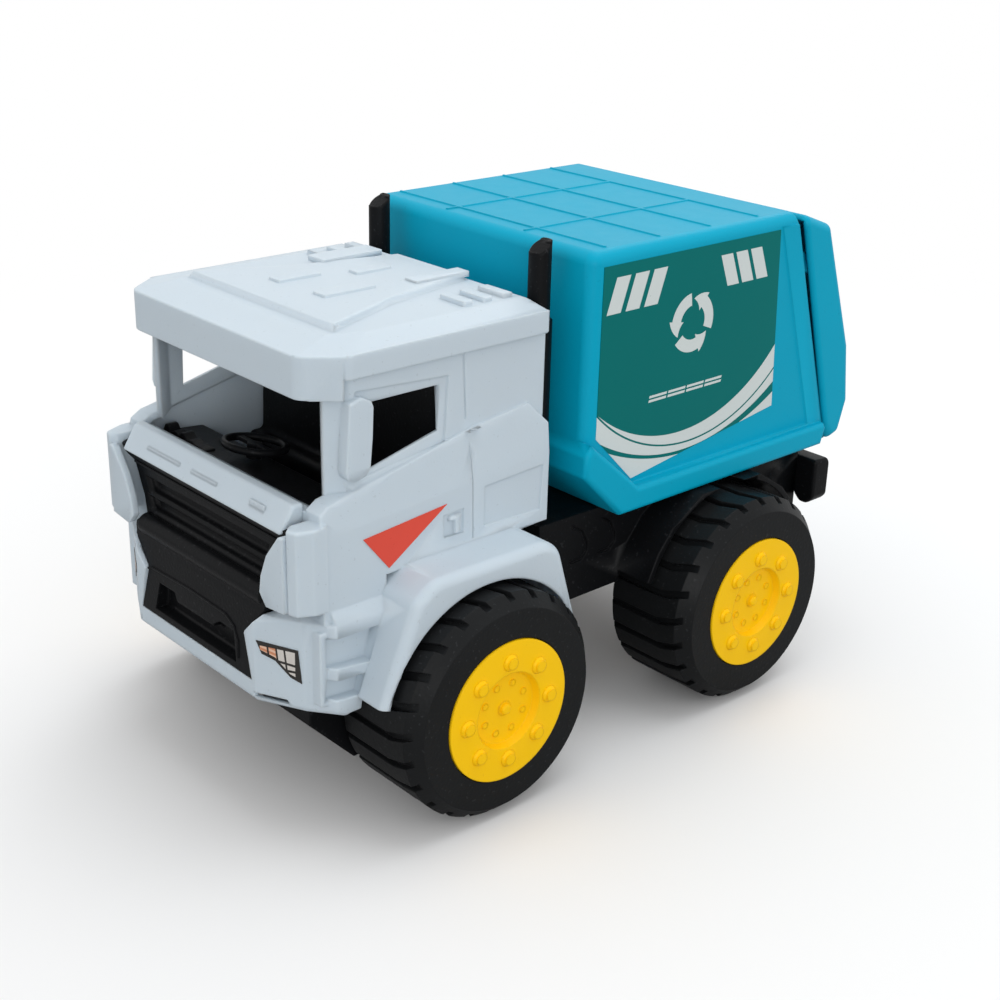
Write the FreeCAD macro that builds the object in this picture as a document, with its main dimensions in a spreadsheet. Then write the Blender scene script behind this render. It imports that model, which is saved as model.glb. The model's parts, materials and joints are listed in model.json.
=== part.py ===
import FreeCAD, Part
import os
import Sketcher
from FreeCAD import Vector
from math import cos, radians, sin

# Toy refuse truck. Front faces -Y, the truck's left side is +X, Z is up, ground is Z 0.
# Millimetres, at the toy's own size.

os.makedirs("parts", exist_ok=True)
doc = FreeCAD.newDocument("toy_refuse_truck")
sheet = doc.addObject("Spreadsheet::Sheet", "Sizes")


class Size:
    """A length that carries its number and its spreadsheet formula together."""

    def __init__(self, number, text):
        self.number = number
        self.text = text

    def join(self, other, sign, number):
        return Size(number, "(%s %s %s)" % (self.text, sign, other.text))

    def __add__(self, other):
        other = as_size(other)
        return self.join(other, "+", self.number + other.number)

    def __sub__(self, other):
        other = as_size(other)
        return self.join(other, "-", self.number - other.number)

    def __mul__(self, other):
        other = as_size(other)
        return self.join(other, "*", self.number * other.number)

    def __truediv__(self, other):
        other = as_size(other)
        return self.join(other, "/", self.number / other.number)

    def __radd__(self, other):
        return as_size(other) + self

    def __rsub__(self, other):
        return as_size(other) - self

    def __rmul__(self, other):
        return as_size(other) * self

    def __neg__(self):
        return Size(-self.number, "(0 - %s)" % self.text)


def as_size(value):
    if isinstance(value, Size):
        return value
    return Size(float(value), repr(float(value)))


rows = []


def size(alias, number):
    rows.append(alias)
    row = len(rows)
    sheet.set("A%d" % row, alias)
    sheet.set("B%d" % row, str(number))
    sheet.setAlias("B%d" % row, alias)
    return Size(float(number), "Sizes." + alias)


# Mould and fit
past = 1  # how far a cut runs past the face it opens
wall = size("wall", 1.8)
running_fit = size("running_fit", 0.05)
seam_gap = size("seam_gap", 0.3)
label_thickness = size("label_thickness", 0.15)

# Wheels and axles
tyre_radius = size("tyre_radius", 33.0)
tyre_width = size("tyre_width", 31.0)
tyre_shoulder = size("tyre_shoulder", 4.0)
sidewall_drop = size("sidewall_drop", 3.6)
inner_shoulder = size("inner_shoulder", 1.6)
inner_drop = size("inner_drop", 1.6)
groove_count = 24
groove_width = size("groove_width", 2.2)
groove_depth = size("groove_depth", 1.8)
groove_hook = size("groove_hook", 6.0)
groove_lean = size("groove_lean", 3.6)
wheel_face = size("wheel_face", 69.1)
hub_radius = size("hub_radius", 20.7)
hub_lip = size("hub_lip", 3.4)
hub_stand_out = size("hub_stand_out", 0.4)
hub_dish_radius = size("hub_dish_radius", 10.4)
hub_dish_depth = size("hub_dish_depth", 2.2)
hub_seat_radius = size("hub_seat_radius", 18.6)
hub_boss_radius = size("hub_boss_radius", 4.2)
nut_count = 8
nut_radius = size("nut_radius", 1.7)
nut_circle = size("nut_circle", 14.7)
nut_height = size("nut_height", 1.3)
axle_radius = size("axle_radius", 1.5)
axle_grip = size("axle_grip", 14.0)
front_axle = size("front_axle", -57.5)
wheelbase = size("wheelbase", 103.3)
rear_axle = front_axle + wheelbase

# Chassis
chassis_half = size("chassis_half", 43.0)
spine_half = size("spine_half", 36.0)
body_floor = size("body_floor", 68.5)
deck_top = body_floor - seam_gap
chassis_bottom = size("chassis_bottom", 41.0)
cab_deck_top = size("cab_deck_top", 72.5)
chassis_front = size("chassis_front", -99.0)
tank_front = size("tank_front", -23.0)
chassis_rear = size("chassis_rear", 95.4)
wheel_well = size("wheel_well", 35.6)
bearing_lug_half = size("bearing_lug_half", 6.0)
bearing_lug_drop = size("bearing_lug_drop", 5.5)
skid_nose = size("skid_nose", 28.5)
skid_front = size("skid_front", -84.5)
skid_bottom = size("skid_bottom", 13.5)
skid_rear = size("skid_rear", -74.0)
skid_heel_y = size("skid_heel_y", -66.0)
skid_heel_z = size("skid_heel_z", 24.0)
guard_half = size("guard_half", 56.0)
guard_thickness = size("guard_thickness", 2.2)
guard_radius = wheel_well + guard_thickness
guard_front_angles = (161, 147, 133)  # degrees round the rear axle, from the rear over the top
guard_rear_angles = (47, 37)
guard_flat_half = size("guard_flat_half", 13.728)
tank_groove_width = size("tank_groove_width", 1.1)
tank_groove_depth = size("tank_groove_depth", 0.7)
tank_groove_top = size("tank_groove_top", 65.0)
tank_groove_bottom = size("tank_groove_bottom", 52.6)
tank_groove_first = size("tank_groove_first", -3.0)
tank_groove_pitch = size("tank_groove_pitch", 11.8)
tank_groove_reach = size("tank_groove_reach", 6.5)
tank_groove_foot = size("tank_groove_foot", 7.0)
tank_groove_shoulder = size("tank_groove_shoulder", 7.0)
tank_groove_bend = size("tank_groove_bend", 2.4)
tank_groove_inner_bend = size("tank_groove_inner_bend", 2.8)

# Rear bumper with its two mud flaps
flap_outer = size("flap_outer", 50.6)
flap_width = size("flap_width", 7.4)
flap_bottom = size("flap_bottom", 46.0)
bumper_bar_top = size("bumper_bar_top", 61.8)
bumper_bar_bottom = size("bumper_bar_bottom", 53.5)
bumper_bar_depth = size("bumper_bar_depth", 8.0)

# Tipping pivot
pivot_behind_chassis = size("pivot_behind_chassis", 2.9)
pivot_above_bar = size("pivot_above_bar", 3.7)
pivot_radius = size("pivot_radius", 1.5)
lug_radius = size("lug_radius", 2.4)
lug_thickness = size("lug_thickness", 3.0)
lug_place = size("lug_place", 28.0)
pivot_y = chassis_rear + pivot_behind_chassis
pivot_z = bumper_bar_top + pivot_above_bar

# Cab
cab_half = size("cab_half", 47.0)
cab_upper_half = size("cab_upper_half", 44.5)
cab_rear = size("cab_rear", -24.0)
cab_rear_step = size("cab_rear_step", 0.9)
cab_front = size("cab_front", -101.5)
cab_roof_seat = size("cab_roof_seat", 127.0)
screen_front = size("screen_front", -98.8)
screen_front_half = size("screen_front_half", 37.6)
screen_corner_rear = size("screen_corner_rear", -90.5)
belt_front = size("belt_front", 95.6)
belt_mid_y = size("belt_mid_y", -52.3)
belt_mid = size("belt_mid", 105.5)
belt_rear = size("belt_rear", 108.3)
crease_front = size("crease_front", 87.1)
crease_rear = size("crease_rear", 93.1)
crease_lean = size("crease_lean", 1.6)
belt_chamfer = size("belt_chamfer", 7.0)
cheek_bottom = size("cheek_bottom", 64.0)
pillar_width = size("pillar_width", 4.7)
screen_sill = size("screen_sill", 93.0)
screen_head = size("screen_head", 124.5)
window_rear = size("window_rear", -62.0)
window_front_foot = size("window_front_foot", -85.5)
window_front_head = size("window_front_head", -84.8)
window_sill_front = size("window_sill_front", 101.0)
window_sill_rear = size("window_sill_rear", 107.0)
window_head = size("window_head", 119.5)
frame_depth = size("frame_depth", 0.6)
frame_front = size("frame_front", -89.4)
frame_rear = size("frame_rear", -59.0)
frame_top = size("frame_top", 123.2)
seam_width = size("seam_width", 0.5)
seam_depth = size("seam_depth", 0.45)
door_seam = size("door_seam", -52.0)
door_seam_foot = size("door_seam_foot", 74.4)
door_seam_crest = size("door_seam_crest", -52.8)
door_seam_belt = size("door_seam_belt", -53.2)
door_seam_head = size("door_seam_head", -54.2)
panel_front = size("panel_front", -47.8)
panel_rear = size("panel_rear", -26.4)
panel_top = size("panel_top", 89.0)
panel_bottom = size("panel_bottom", 76.4)
panel_rake = size("panel_rake", 0.6)
handle_front = size("handle_front", -62.3)
handle_rear = size("handle_rear", -55.2)
handle_top = size("handle_top", 83.8)
handle_bottom = size("handle_bottom", 77.2)
handle_height = size("handle_height", 0.9)
handle_rake = size("handle_rake", 0.4)
handle_inset = size("handle_inset", 0.9)
mirror_out = size("mirror_out", 2.0)
mirror_front = size("mirror_front", -93.4)
mirror_rear = size("mirror_rear", -84.4)
mirror_top = size("mirror_top", 122.2)
mirror_bottom = size("mirror_bottom", 100.4)
mirror_head_length = size("mirror_head_length", 5.0)
mirror_front_corner = size("mirror_front_corner", 1.2)
mirror_corner = size("mirror_corner", 1.0)
mirror_rear_corner = size("mirror_rear_corner", 1.6)
mirror_shoulder = size("mirror_shoulder", 4.0)
mirror_foot = size("mirror_foot", 3.0)
mirror_foot_lean = size("mirror_foot_lean", 1.4)
mirror_foot_front = size("mirror_foot_front", 2.4)

# Bumper and steps, one moulding with the cab
bumper_front = size("bumper_front", -111.5)
bumper_bottom = size("bumper_bottom", 37.5)
bumper_flat_half = size("bumper_flat_half", 29.5)
bumper_corner_half = size("bumper_corner_half", 42.4)
bumper_corner_back = size("bumper_corner_back", 6.5)
bumper_side_start = size("bumper_side_start", 12.0)
step_half = size("step_half", 49.5)
step_rear = size("step_rear", -81.5)
step_top = size("step_top", 67.2)
bumper_lip_height = size("bumper_lip_height", 6.2)
bumper_slot_inner = size("bumper_slot_inner", 28.6)
bumper_slot_outer = size("bumper_slot_outer", 38.6)
bumper_slot_bottom = size("bumper_slot_bottom", 39.2)
bumper_slot_height = size("bumper_slot_height", 1.4)
recess_depth = size("recess_depth", 3.4)
recess_front = size("recess_front", -101.7)
recess_rear_top = size("recess_rear_top", -85.9)
recess_rear_bottom = size("recess_rear_bottom", -91.8)
recess_top = size("recess_top", 60.4)
recess_rung_top = size("recess_rung_top", 51.4)
recess_rung_bottom = size("recess_rung_bottom", 48.4)
recess_bottom = size("recess_bottom", 42.8)
recess_rear_rung = size("recess_rear_rung", -88.5)
recess_rear_rung_foot = size("recess_rear_rung_foot", -90.2)
rung_rake = size("rung_rake", 0.6)
cheek_half = size("cheek_half", 48.0)
cheek_inner = size("cheek_inner", 41.5)
cheek_front = size("cheek_front", -110.0)
cheek_side_front = size("cheek_side_front", -105.0)
cheek_rear = size("cheek_rear", -99.0)
cheek_block_bottom = size("cheek_block_bottom", 68.0)
cheek_block_top = size("cheek_block_top", 91.5)
crescent_front = size("crescent_front", -110.6)
crescent_thickness = size("crescent_thickness", 2.2)
crescent_top = size("crescent_top", 89.0)
crescent_upper_half = size("crescent_upper_half", 35.0)
crescent_upper = size("crescent_upper", 82.0)
crescent_mid_half = size("crescent_mid_half", 32.2)
crescent_mid = size("crescent_mid", 75.5)
crescent_low_half = size("crescent_low_half", 31.4)
crescent_low = size("crescent_low", 70.5)
crescent_foot_half = size("crescent_foot_half", 34.0)
crescent_foot = size("crescent_foot", 67.4)

# How much of a wall's inset the slanted corners of each plan take
corner_inset = 0.4
bumper_corner_inset = 0.8
bumper_flat_inset = 0.3
visor_inset = 0.5
roof_rear_inset = 0.1

# Fender
fender_half = size("fender_half", 60.8)
fender_top = size("fender_top", 73.6)
fender_front = size("fender_front", -93.2)
fender_brow = size("fender_brow", -82.4)
fender_brow_height = size("fender_brow_height", 69.0)
fender_top_front = size("fender_top_front", -76.0)
fender_top_rear = size("fender_top_rear", -36.5)
fender_tail = size("fender_tail", -31.2)
fender_tail_height = size("fender_tail_height", 70.4)
fender_tip = size("fender_tip", -23.4)
fender_tip_height = size("fender_tip_height", 45.3)
fender_leg_bottom = size("fender_leg_bottom", 41.5)
arch_gap = size("arch_gap", 1.6)
fender_bend = size("fender_bend", 8.0)
fender_round = size("fender_round", 3.0)
bumper_round = size("bumper_round", 2.4)
pillar_round = size("pillar_round", 3.0)

# Roof
roof_half = size("roof_half", 46.2)
roof_rear = size("roof_rear", -25.4)
roof_side_front = size("roof_side_front", -92.0)
visor_front = size("visor_front", -102.4)
visor_front_half = size("visor_front_half", 38.5)
visor_bottom = size("visor_bottom", 122.0)
rail_top = size("rail_top", 133.4)
roof_shoulder = size("roof_shoulder", 135.4)
roof_ledge = size("roof_ledge", 0.9)
roof_side_slope = size("roof_side_slope", 9.0)
roof_front_slope = size("roof_front_slope", 12.0)
roof_top = size("roof_top", 137.2)
visor_skirt = size("visor_skirt", 2.0)
roof_corner_round = size("roof_corner_round", 5.0)
roof_edge_round = size("roof_edge_round", 1.2)
plateau_front = size("plateau_front", -88.0)
plateau_rear = size("plateau_rear", -27.5)
plateau_front_half = size("plateau_front_half", 34.0)
plateau_waist = size("plateau_waist", -61.0)
plateau_waist_half = size("plateau_waist_half", 23.2)
plateau_rear_half = size("plateau_rear_half", 15.6)
plateau_slope = size("plateau_slope", 1.6)
roof_rib_height = size("roof_rib_height", 0.7)
roof_ribs = []
for number, (x, y, half_x, half_y) in enumerate((
    (9.0, -65.5, 2.7, 8.6),
    (-10.2, -68.0, 2.6, 7.0),
    (-22.4, -41.8, 3.9, 10.6),
    (12.4, -36.4, 2.7, 9.4),
    (-4.0, -47.0, 2.2, 6.0),
)):
    roof_ribs.append((
        size("roof_rib_across_%d" % number, x),
        size("roof_rib_along_%d" % number, y),
        size("roof_rib_half_width_%d" % number, half_x),
        size("roof_rib_half_length_%d" % number, half_y),
    ))
vent_count = 3
vent_pitch = size("vent_pitch", 6.9)
vent_first = size("vent_first", -44.6)
vent_width = size("vent_width", 3.2)
vent_outer = size("vent_outer", 35.4)
vent_inner = size("vent_inner", 25.0)
vent_top = size("vent_top", 136.7)

# Grille insert
grille_top_half = size("grille_top_half", 41.2)
grille_mid_half = size("grille_mid_half", 32.0)
grille_low_half = size("grille_low_half", 27.6)
grille_waist_half = size("grille_waist_half", 24.6)
grille_waist = size("grille_waist", 57.0)
grille_top = size("grille_top", 90.2)
grille_mid = size("grille_mid", 67.2)
grille_top_bar_front = size("grille_top_bar_front", -107.6)
grille_mid_bar_front = size("grille_mid_bar_front", -109.4)
grille_panel_front = size("grille_panel_front", -106.2)
grille_bar_height = size("grille_bar_height", 3.4)
slot_count = 2
slot_first = size("slot_first", 72.64)
slot_height = size("slot_height", 3.6)
slot_depth = size("slot_depth", 2.4)
mouth_half = size("mouth_half", 20.5)
mouth_height = size("mouth_height", 8.5)
mouth_depth = size("mouth_depth", 4.2)
mouth_bump_half = size("mouth_bump_half", 9.0)
mouth_bump_height = size("mouth_bump_height", 3.0)

# Cab interior
dash_rear = size("dash_rear", -78.0)
dash_top = size("dash_top", 88.0)
seat_front = size("seat_front", -66.0)
seat_back_front = size("seat_back_front", -60.0)
seat_back_lean = size("seat_back_lean", 1.6)
seat_back_depth = size("seat_back_depth", 8.0)
seat_height = size("seat_height", 83.0)
seat_back_top = size("seat_back_top", 124.0)
seat_half_width = size("seat_half_width", 20.0)
seat_gap = size("seat_gap", 2.4)
seat_place = seat_half_width + seat_gap / 2
steering_place = size("steering_place", -7.0)
steering_y = size("steering_y", -85.0)
steering_z = size("steering_z", 93.2)
steering_column = size("steering_column", 4.3)
steering_radius = size("steering_radius", 8.5)
steering_rim = size("steering_rim", 1.1)
steering_tilt = -10  # degrees about X

# Exhaust stacks
stack_y = size("stack_y", -19.2)
stack_radius = size("stack_radius", 3.2)
stack_lower_radius = size("stack_lower_radius", 4.0)
stack_step = size("stack_step", 127.5)
stack_top = size("stack_top", 149.5)
stack_cut = size("stack_cut", 4.5)

# Refuse body
body_half = size("body_half", 48.5)
stack_inset = size("stack_inset", 13.1)
stack_place = body_half - stack_inset
body_front = size("body_front", -12.0)
body_top = size("body_top", 147.0)
body_rear_top = size("body_rear_top", 75.4)
body_rear_bottom = size("body_rear_bottom", 101.0)
body_chamfer = size("body_chamfer", 17.0)
body_round = size("body_round", 3.6)
rear_frame_width = size("rear_frame_width", 6.8)
rear_frame_height = size("rear_frame_height", 0.5)
top_rib_count = 4
top_rib_width = size("top_rib_width", 0.9)
top_rib_height = size("top_rib_height", 0.4)
top_rib_pitch = size("top_rib_pitch", 21.5)
top_rib_rear = size("top_rib_rear", 61.0)
top_rib_place = size("top_rib_place", 17.0)
flange_half = size("flange_half", 52.5)
flange_front = size("flange_front", 2.8)
flange_height = size("flange_height", 7.4)
flange_tip = size("flange_tip", 96.6)
flange_round = size("flange_round", 1.6)
gate_round = size("gate_round", 3.0)
gate_side_round = size("gate_side_round", 2.8)
gate_rim_round = size("gate_rim_round", 1.5)

# Tailgate
gate_half = size("gate_half", 49.5)
gate_gap_top = size("gate_gap_top", 3.0)
gate_gap_bottom = size("gate_gap_bottom", 0.6)
gate_top_front = size("gate_top_front", 146.2)
gate_top_rear_y = size("gate_top_rear_y", 92.8)
gate_top_rear_z = size("gate_top_rear_z", 141.0)
gate_mid_y = size("gate_mid_y", 108.5)
gate_mid_z = size("gate_mid_z", 99.4)
gate_rear = size("gate_rear", 111.56)
gate_rear_z = size("gate_rear_z", 80.0)
gate_tip_y = size("gate_tip_y", 108.4)
gate_tip_z = size("gate_tip_z", 69.0)
gate_bottom_y = size("gate_bottom_y", 103.2)
gate_bottom_z = size("gate_bottom_z", 67.4)
hinge_y = size("hinge_y", 72.0)
hinge_z = size("hinge_z", 141.5)
hinge_pip_radius = size("hinge_pip_radius", 1.25)
hinge_ear_radius = size("hinge_ear_radius", 2.8)
hinge_ear_thickness = size("hinge_ear_thickness", 1.8)
ear_arm_reach = size("ear_arm_reach", 15.5)
ear_arm_knee = size("ear_arm_knee", 13.0)
ear_arm_knee_drop = size("ear_arm_knee_drop", 9.5)
ear_arm_top_drop = size("ear_arm_top_drop", 11.0)
ear_arm_bottom_drop = size("ear_arm_bottom_drop", 15.0)

# Labels
label_front = size("label_front", -7.6)
label_top = size("label_top", 142.8)
label_rear_top = size("label_rear_top", 67.9)
label_rear_bottom = size("label_rear_bottom", 71.2)
label_rear_foot = size("label_rear_foot", 86.3)
label_low_y = size("label_low_y", 7.8)
label_low_z = size("label_low_z", 77.4)
label_corner = size("label_corner", 93.0)
badge_front = size("badge_front", -89.0)
badge_rear = size("badge_rear", -61.2)
badge_above_brow = size("badge_above_brow", 5.1)
badge_front_height = size("badge_front_height", 10.3)
badge_rear_height = size("badge_rear_height", 12.9)
badge_tip_y = size("badge_tip_y", -80.7)
badge_tip_z = fender_brow_height + badge_above_brow
badge_top_front = badge_tip_z + badge_front_height
badge_top_rear = badge_tip_z + badge_rear_height
lamp_width = size("lamp_width", 13.2)
lamp_height = size("lamp_height", 10.0)
lamp_bottom = size("lamp_bottom", 46.4)
lamp_inset = size("lamp_inset", 0.7)
# the headlamp's outline as shares of its width and height
lamp_outline = ((0, 1), (0.93, 0.95), (1, 0), (0.75, 0.12), (0.42, 0.52), (0.12, 0.64))


# Small helpers for parametric features
def bind(feature, path, value):
    feature.setExpression(path, as_size(value).text)


def new_body(label):
    body = doc.addObject("PartDesign::Body", label)
    body.Label = label
    return body


def new_sketch(body, name, role, offset=None):
    plane = [item for item in body.Origin.OriginFeatures if item.Role == role][0]
    sketch = body.newObject("Sketcher::SketchObject", name)
    sketch.AttachmentSupport = [(plane, "")]
    sketch.MapMode = "FlatFace"
    if offset is not None:
        bind(sketch, "AttachmentOffset.Base.z", offset)
    return sketch


def place_point(sketch, geometry, point, u, v):
    for kind, value in (("DistanceX", as_size(u)), ("DistanceY", as_size(v))):
        number = sketch.addConstraint(Sketcher.Constraint(kind, -1, 1, geometry, point, value.number))
        bind(sketch, "Constraints[%d]" % number, value)


def outline(sketch, corners):
    points = [Vector(as_size(u).number, as_size(v).number, 0) for u, v in corners]
    first = sketch.GeometryCount
    count = len(points)
    for index in range(count):
        sketch.addGeometry(Part.LineSegment(points[index], points[(index + 1) % count]), False)
    for index in range(count):
        here = first + index
        following = first + (index + 1) % count
        sketch.addConstraint(Sketcher.Constraint("Coincident", here, 2, following, 1))
        place_point(sketch, here, 1, corners[index][0], corners[index][1])


def circle(sketch, u, v, radius):
    u, v, radius = as_size(u), as_size(v), as_size(radius)
    geometry = sketch.addGeometry(Part.Circle(Vector(u.number, v.number, 0), Vector(0, 0, 1), radius.number), False)
    place_point(sketch, geometry, 3, u, v)
    number = sketch.addConstraint(Sketcher.Constraint("Radius", geometry, radius.number))
    bind(sketch, "Constraints[%d]" % number, radius)


def extrude(kind, body, name, sketch, length, symmetric=False, reverse=False):
    feature = body.newObject(kind, name)
    feature.Profile = sketch
    if symmetric:
        feature.SideType = "Symmetric"
    feature.Reversed = reverse
    feature.Type = "Length"
    bind(feature, "Length", length)
    return feature


def pad(body, name, sketch, length, symmetric=False, reverse=False):
    return extrude("PartDesign::Pad", body, name, sketch, length, symmetric, reverse)


def pocket(body, name, sketch, length, symmetric=False, reverse=False):
    return extrude("PartDesign::Pocket", body, name, sketch, length, symmetric, reverse)


def side_pad(body, name, corners, half):
    """Pad a side view (Y, Z) evenly to both sides of the truck."""
    sketch = new_sketch(body, name + "_sketch", "YZ_Plane")
    outline(sketch, corners)
    return pad(body, name, sketch, 2 * half, symmetric=True)


def side_pocket(body, name, corners, half):
    sketch = new_sketch(body, name + "_sketch", "YZ_Plane")
    outline(sketch, corners)
    return pocket(body, name, sketch, 2 * half, symmetric=True)


def twin_side_pads(body, name, corners, inner, thickness):
    """Pad the same side view on the left and on the right, each from inner outwards."""
    for tag, start, reverse in (("left", inner, False), ("right", -inner, True)):
        sketch = new_sketch(body, "%s_%s_sketch" % (name, tag), "YZ_Plane", start)
        outline(sketch, corners)
        pad(body, "%s_%s" % (name, tag), sketch, thickness, reverse=reverse)


def twin_side_cuts(body, name, corners, surface, depth):
    """Cut the same side view into the left and the right surface, to one depth."""
    for tag, start, reverse in (("left", surface, False), ("right", -surface, True)):
        sketch = new_sketch(body, "%s_%s_sketch" % (name, tag), "YZ_Plane", start)
        outline(sketch, corners)
        pocket(body, "%s_%s" % (name, tag), sketch, depth, reverse=reverse)


def on_arc(centre_y, radius, degrees):
    """A point (Y, Z) on a circle round an axle, from the rear over the top to the front."""
    return centre_y + radius * cos(radians(degrees)), tyre_radius + radius * sin(radians(degrees))


def round_edges(body, name, radius, chosen):
    """Fillet the edges of the tip that the test chooses."""
    doc.recompute()
    base = body.Tip
    names = ["Edge%d" % (i + 1) for i, edge in enumerate(base.Shape.Edges) if chosen(edge)]
    feature = body.newObject("PartDesign::Fillet", name)
    feature.Base = (base, names)
    bind(feature, "Radius", radius)
    return feature


def near(value, target):
    return abs(value - as_size(target).number) < 0.02


def across(edge):
    """An edge that runs straight across the truck."""
    box = edge.BoundBox
    return box.XLength > 10 and box.YLength < 0.01 and box.ZLength < 0.01


# Wheels: tyre and hub are turned about X at the origin and then placed on their axle.
def place_on_axle(body, side, axle_y):
    body.Placement = FreeCAD.Placement(Vector(0, 0, 0), FreeCAD.Rotation(Vector(0, 0, 1), 0 if side == "left" else 180))
    bind(body, "Placement.Base.y", axle_y)
    bind(body, "Placement.Base.z", tyre_radius)


def revolve(body, name, corners):
    sketch = new_sketch(body, name + "_sketch", "XY_Plane")
    outline(sketch, corners)
    feature = body.newObject("PartDesign::Revolution", name)
    feature.Profile = sketch
    feature.ReferenceAxis = (sketch, ["H_Axis"])
    feature.Angle = 360
    return feature


def make_tyre(label, side, axle_y):
    body = new_body(label)
    inner_face = wheel_face - tyre_width
    revolve(body, label + "_turned", [
        (inner_face, hub_seat_radius),
        (inner_face, tyre_radius - inner_drop),
        (inner_face + inner_shoulder, tyre_radius),
        (wheel_face - tyre_shoulder, tyre_radius),
        (wheel_face, tyre_radius - sidewall_drop),
        (wheel_face, hub_radius + seam_gap),
        (wheel_face - hub_lip, hub_radius + seam_gap),
        (wheel_face - hub_lip, hub_seat_radius),
    ])
    above = tyre_radius + groove_depth
    hook_start = wheel_face - tyre_shoulder - groove_hook
    sketch = new_sketch(body, label + "_groove_sketch", "XY_Plane", above)
    outline(sketch, [
        (inner_face - past, -(groove_width / 2)),
        (hook_start, -(groove_width / 2)),
        (wheel_face + past, groove_lean - groove_width / 2),
        (wheel_face + past, groove_lean + groove_width / 2),
        (hook_start - groove_width / 2, groove_width / 2),
        (inner_face - past, groove_width / 2),
    ])
    groove = pocket(body, label + "_groove", sketch, 2 * groove_depth)
    ring = body.newObject("PartDesign::PolarPattern", label + "_tread")
    ring.Originals = [groove]
    ring.Axis = ([item for item in body.Origin.OriginFeatures if item.Role == "X_Axis"][0], [""])
    ring.Angle = 360
    ring.Occurrences = groove_count
    body.Tip = ring
    place_on_axle(body, side, axle_y)
    return body


def make_hub(label, side, axle_y):
    body = new_body(label)
    inner_face = wheel_face - tyre_width
    face = wheel_face + hub_stand_out
    dish = face - hub_dish_depth
    web = dish - wall
    revolve(body, label + "_turned", [
        (face - axle_grip, 0),
        (dish + hub_stand_out, 0),
        (dish + hub_stand_out, hub_boss_radius / 2),
        (dish, hub_boss_radius / 2),
        (dish, hub_dish_radius),
        (face, hub_dish_radius + wall / 2),
        (face, hub_radius),
        (wheel_face - hub_lip, hub_radius),
        (wheel_face - hub_lip, hub_seat_radius),
        (inner_face, hub_seat_radius),
        (inner_face, hub_seat_radius - wall),
        (web, hub_seat_radius - wall),
        (web, hub_boss_radius),
        (face - axle_grip, hub_boss_radius),
    ])
    sketch = new_sketch(body, label + "_bore_sketch", "YZ_Plane", face - axle_grip)
    circle(sketch, 0, 0, axle_radius)
    pocket(body, label + "_bore", sketch, axle_grip - hub_dish_depth - wall, reverse=True)
    sketch = new_sketch(body, label + "_nut_sketch", "YZ_Plane", face)
    circle(sketch, nut_circle, 0, nut_radius)
    nut = pad(body, label + "_nut", sketch, nut_height)
    ring = body.newObject("PartDesign::PolarPattern", label + "_nut_ring")
    ring.Originals = [nut]
    ring.Axis = ([item for item in body.Origin.OriginFeatures if item.Role == "X_Axis"][0], [""])
    ring.Angle = 360
    ring.Occurrences = nut_count
    body.Tip = ring
    place_on_axle(body, side, axle_y)
    return body


def make_axle(label, axle_y):
    rod = doc.addObject("Part::Cylinder", label)
    rod.Label = label
    length = 2 * (wheel_face + hub_stand_out - hub_dish_depth - wall)
    bind(rod, "Radius", axle_radius)
    bind(rod, "Height", length)
    rod.Placement = FreeCAD.Placement(Vector(0, 0, 0), FreeCAD.Rotation(Vector(0, 1, 0), 90))
    bind(rod, "Placement.Base.x", -(length / 2))
    bind(rod, "Placement.Base.y", axle_y)
    bind(rod, "Placement.Base.z", tyre_radius)
    return rod


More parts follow.
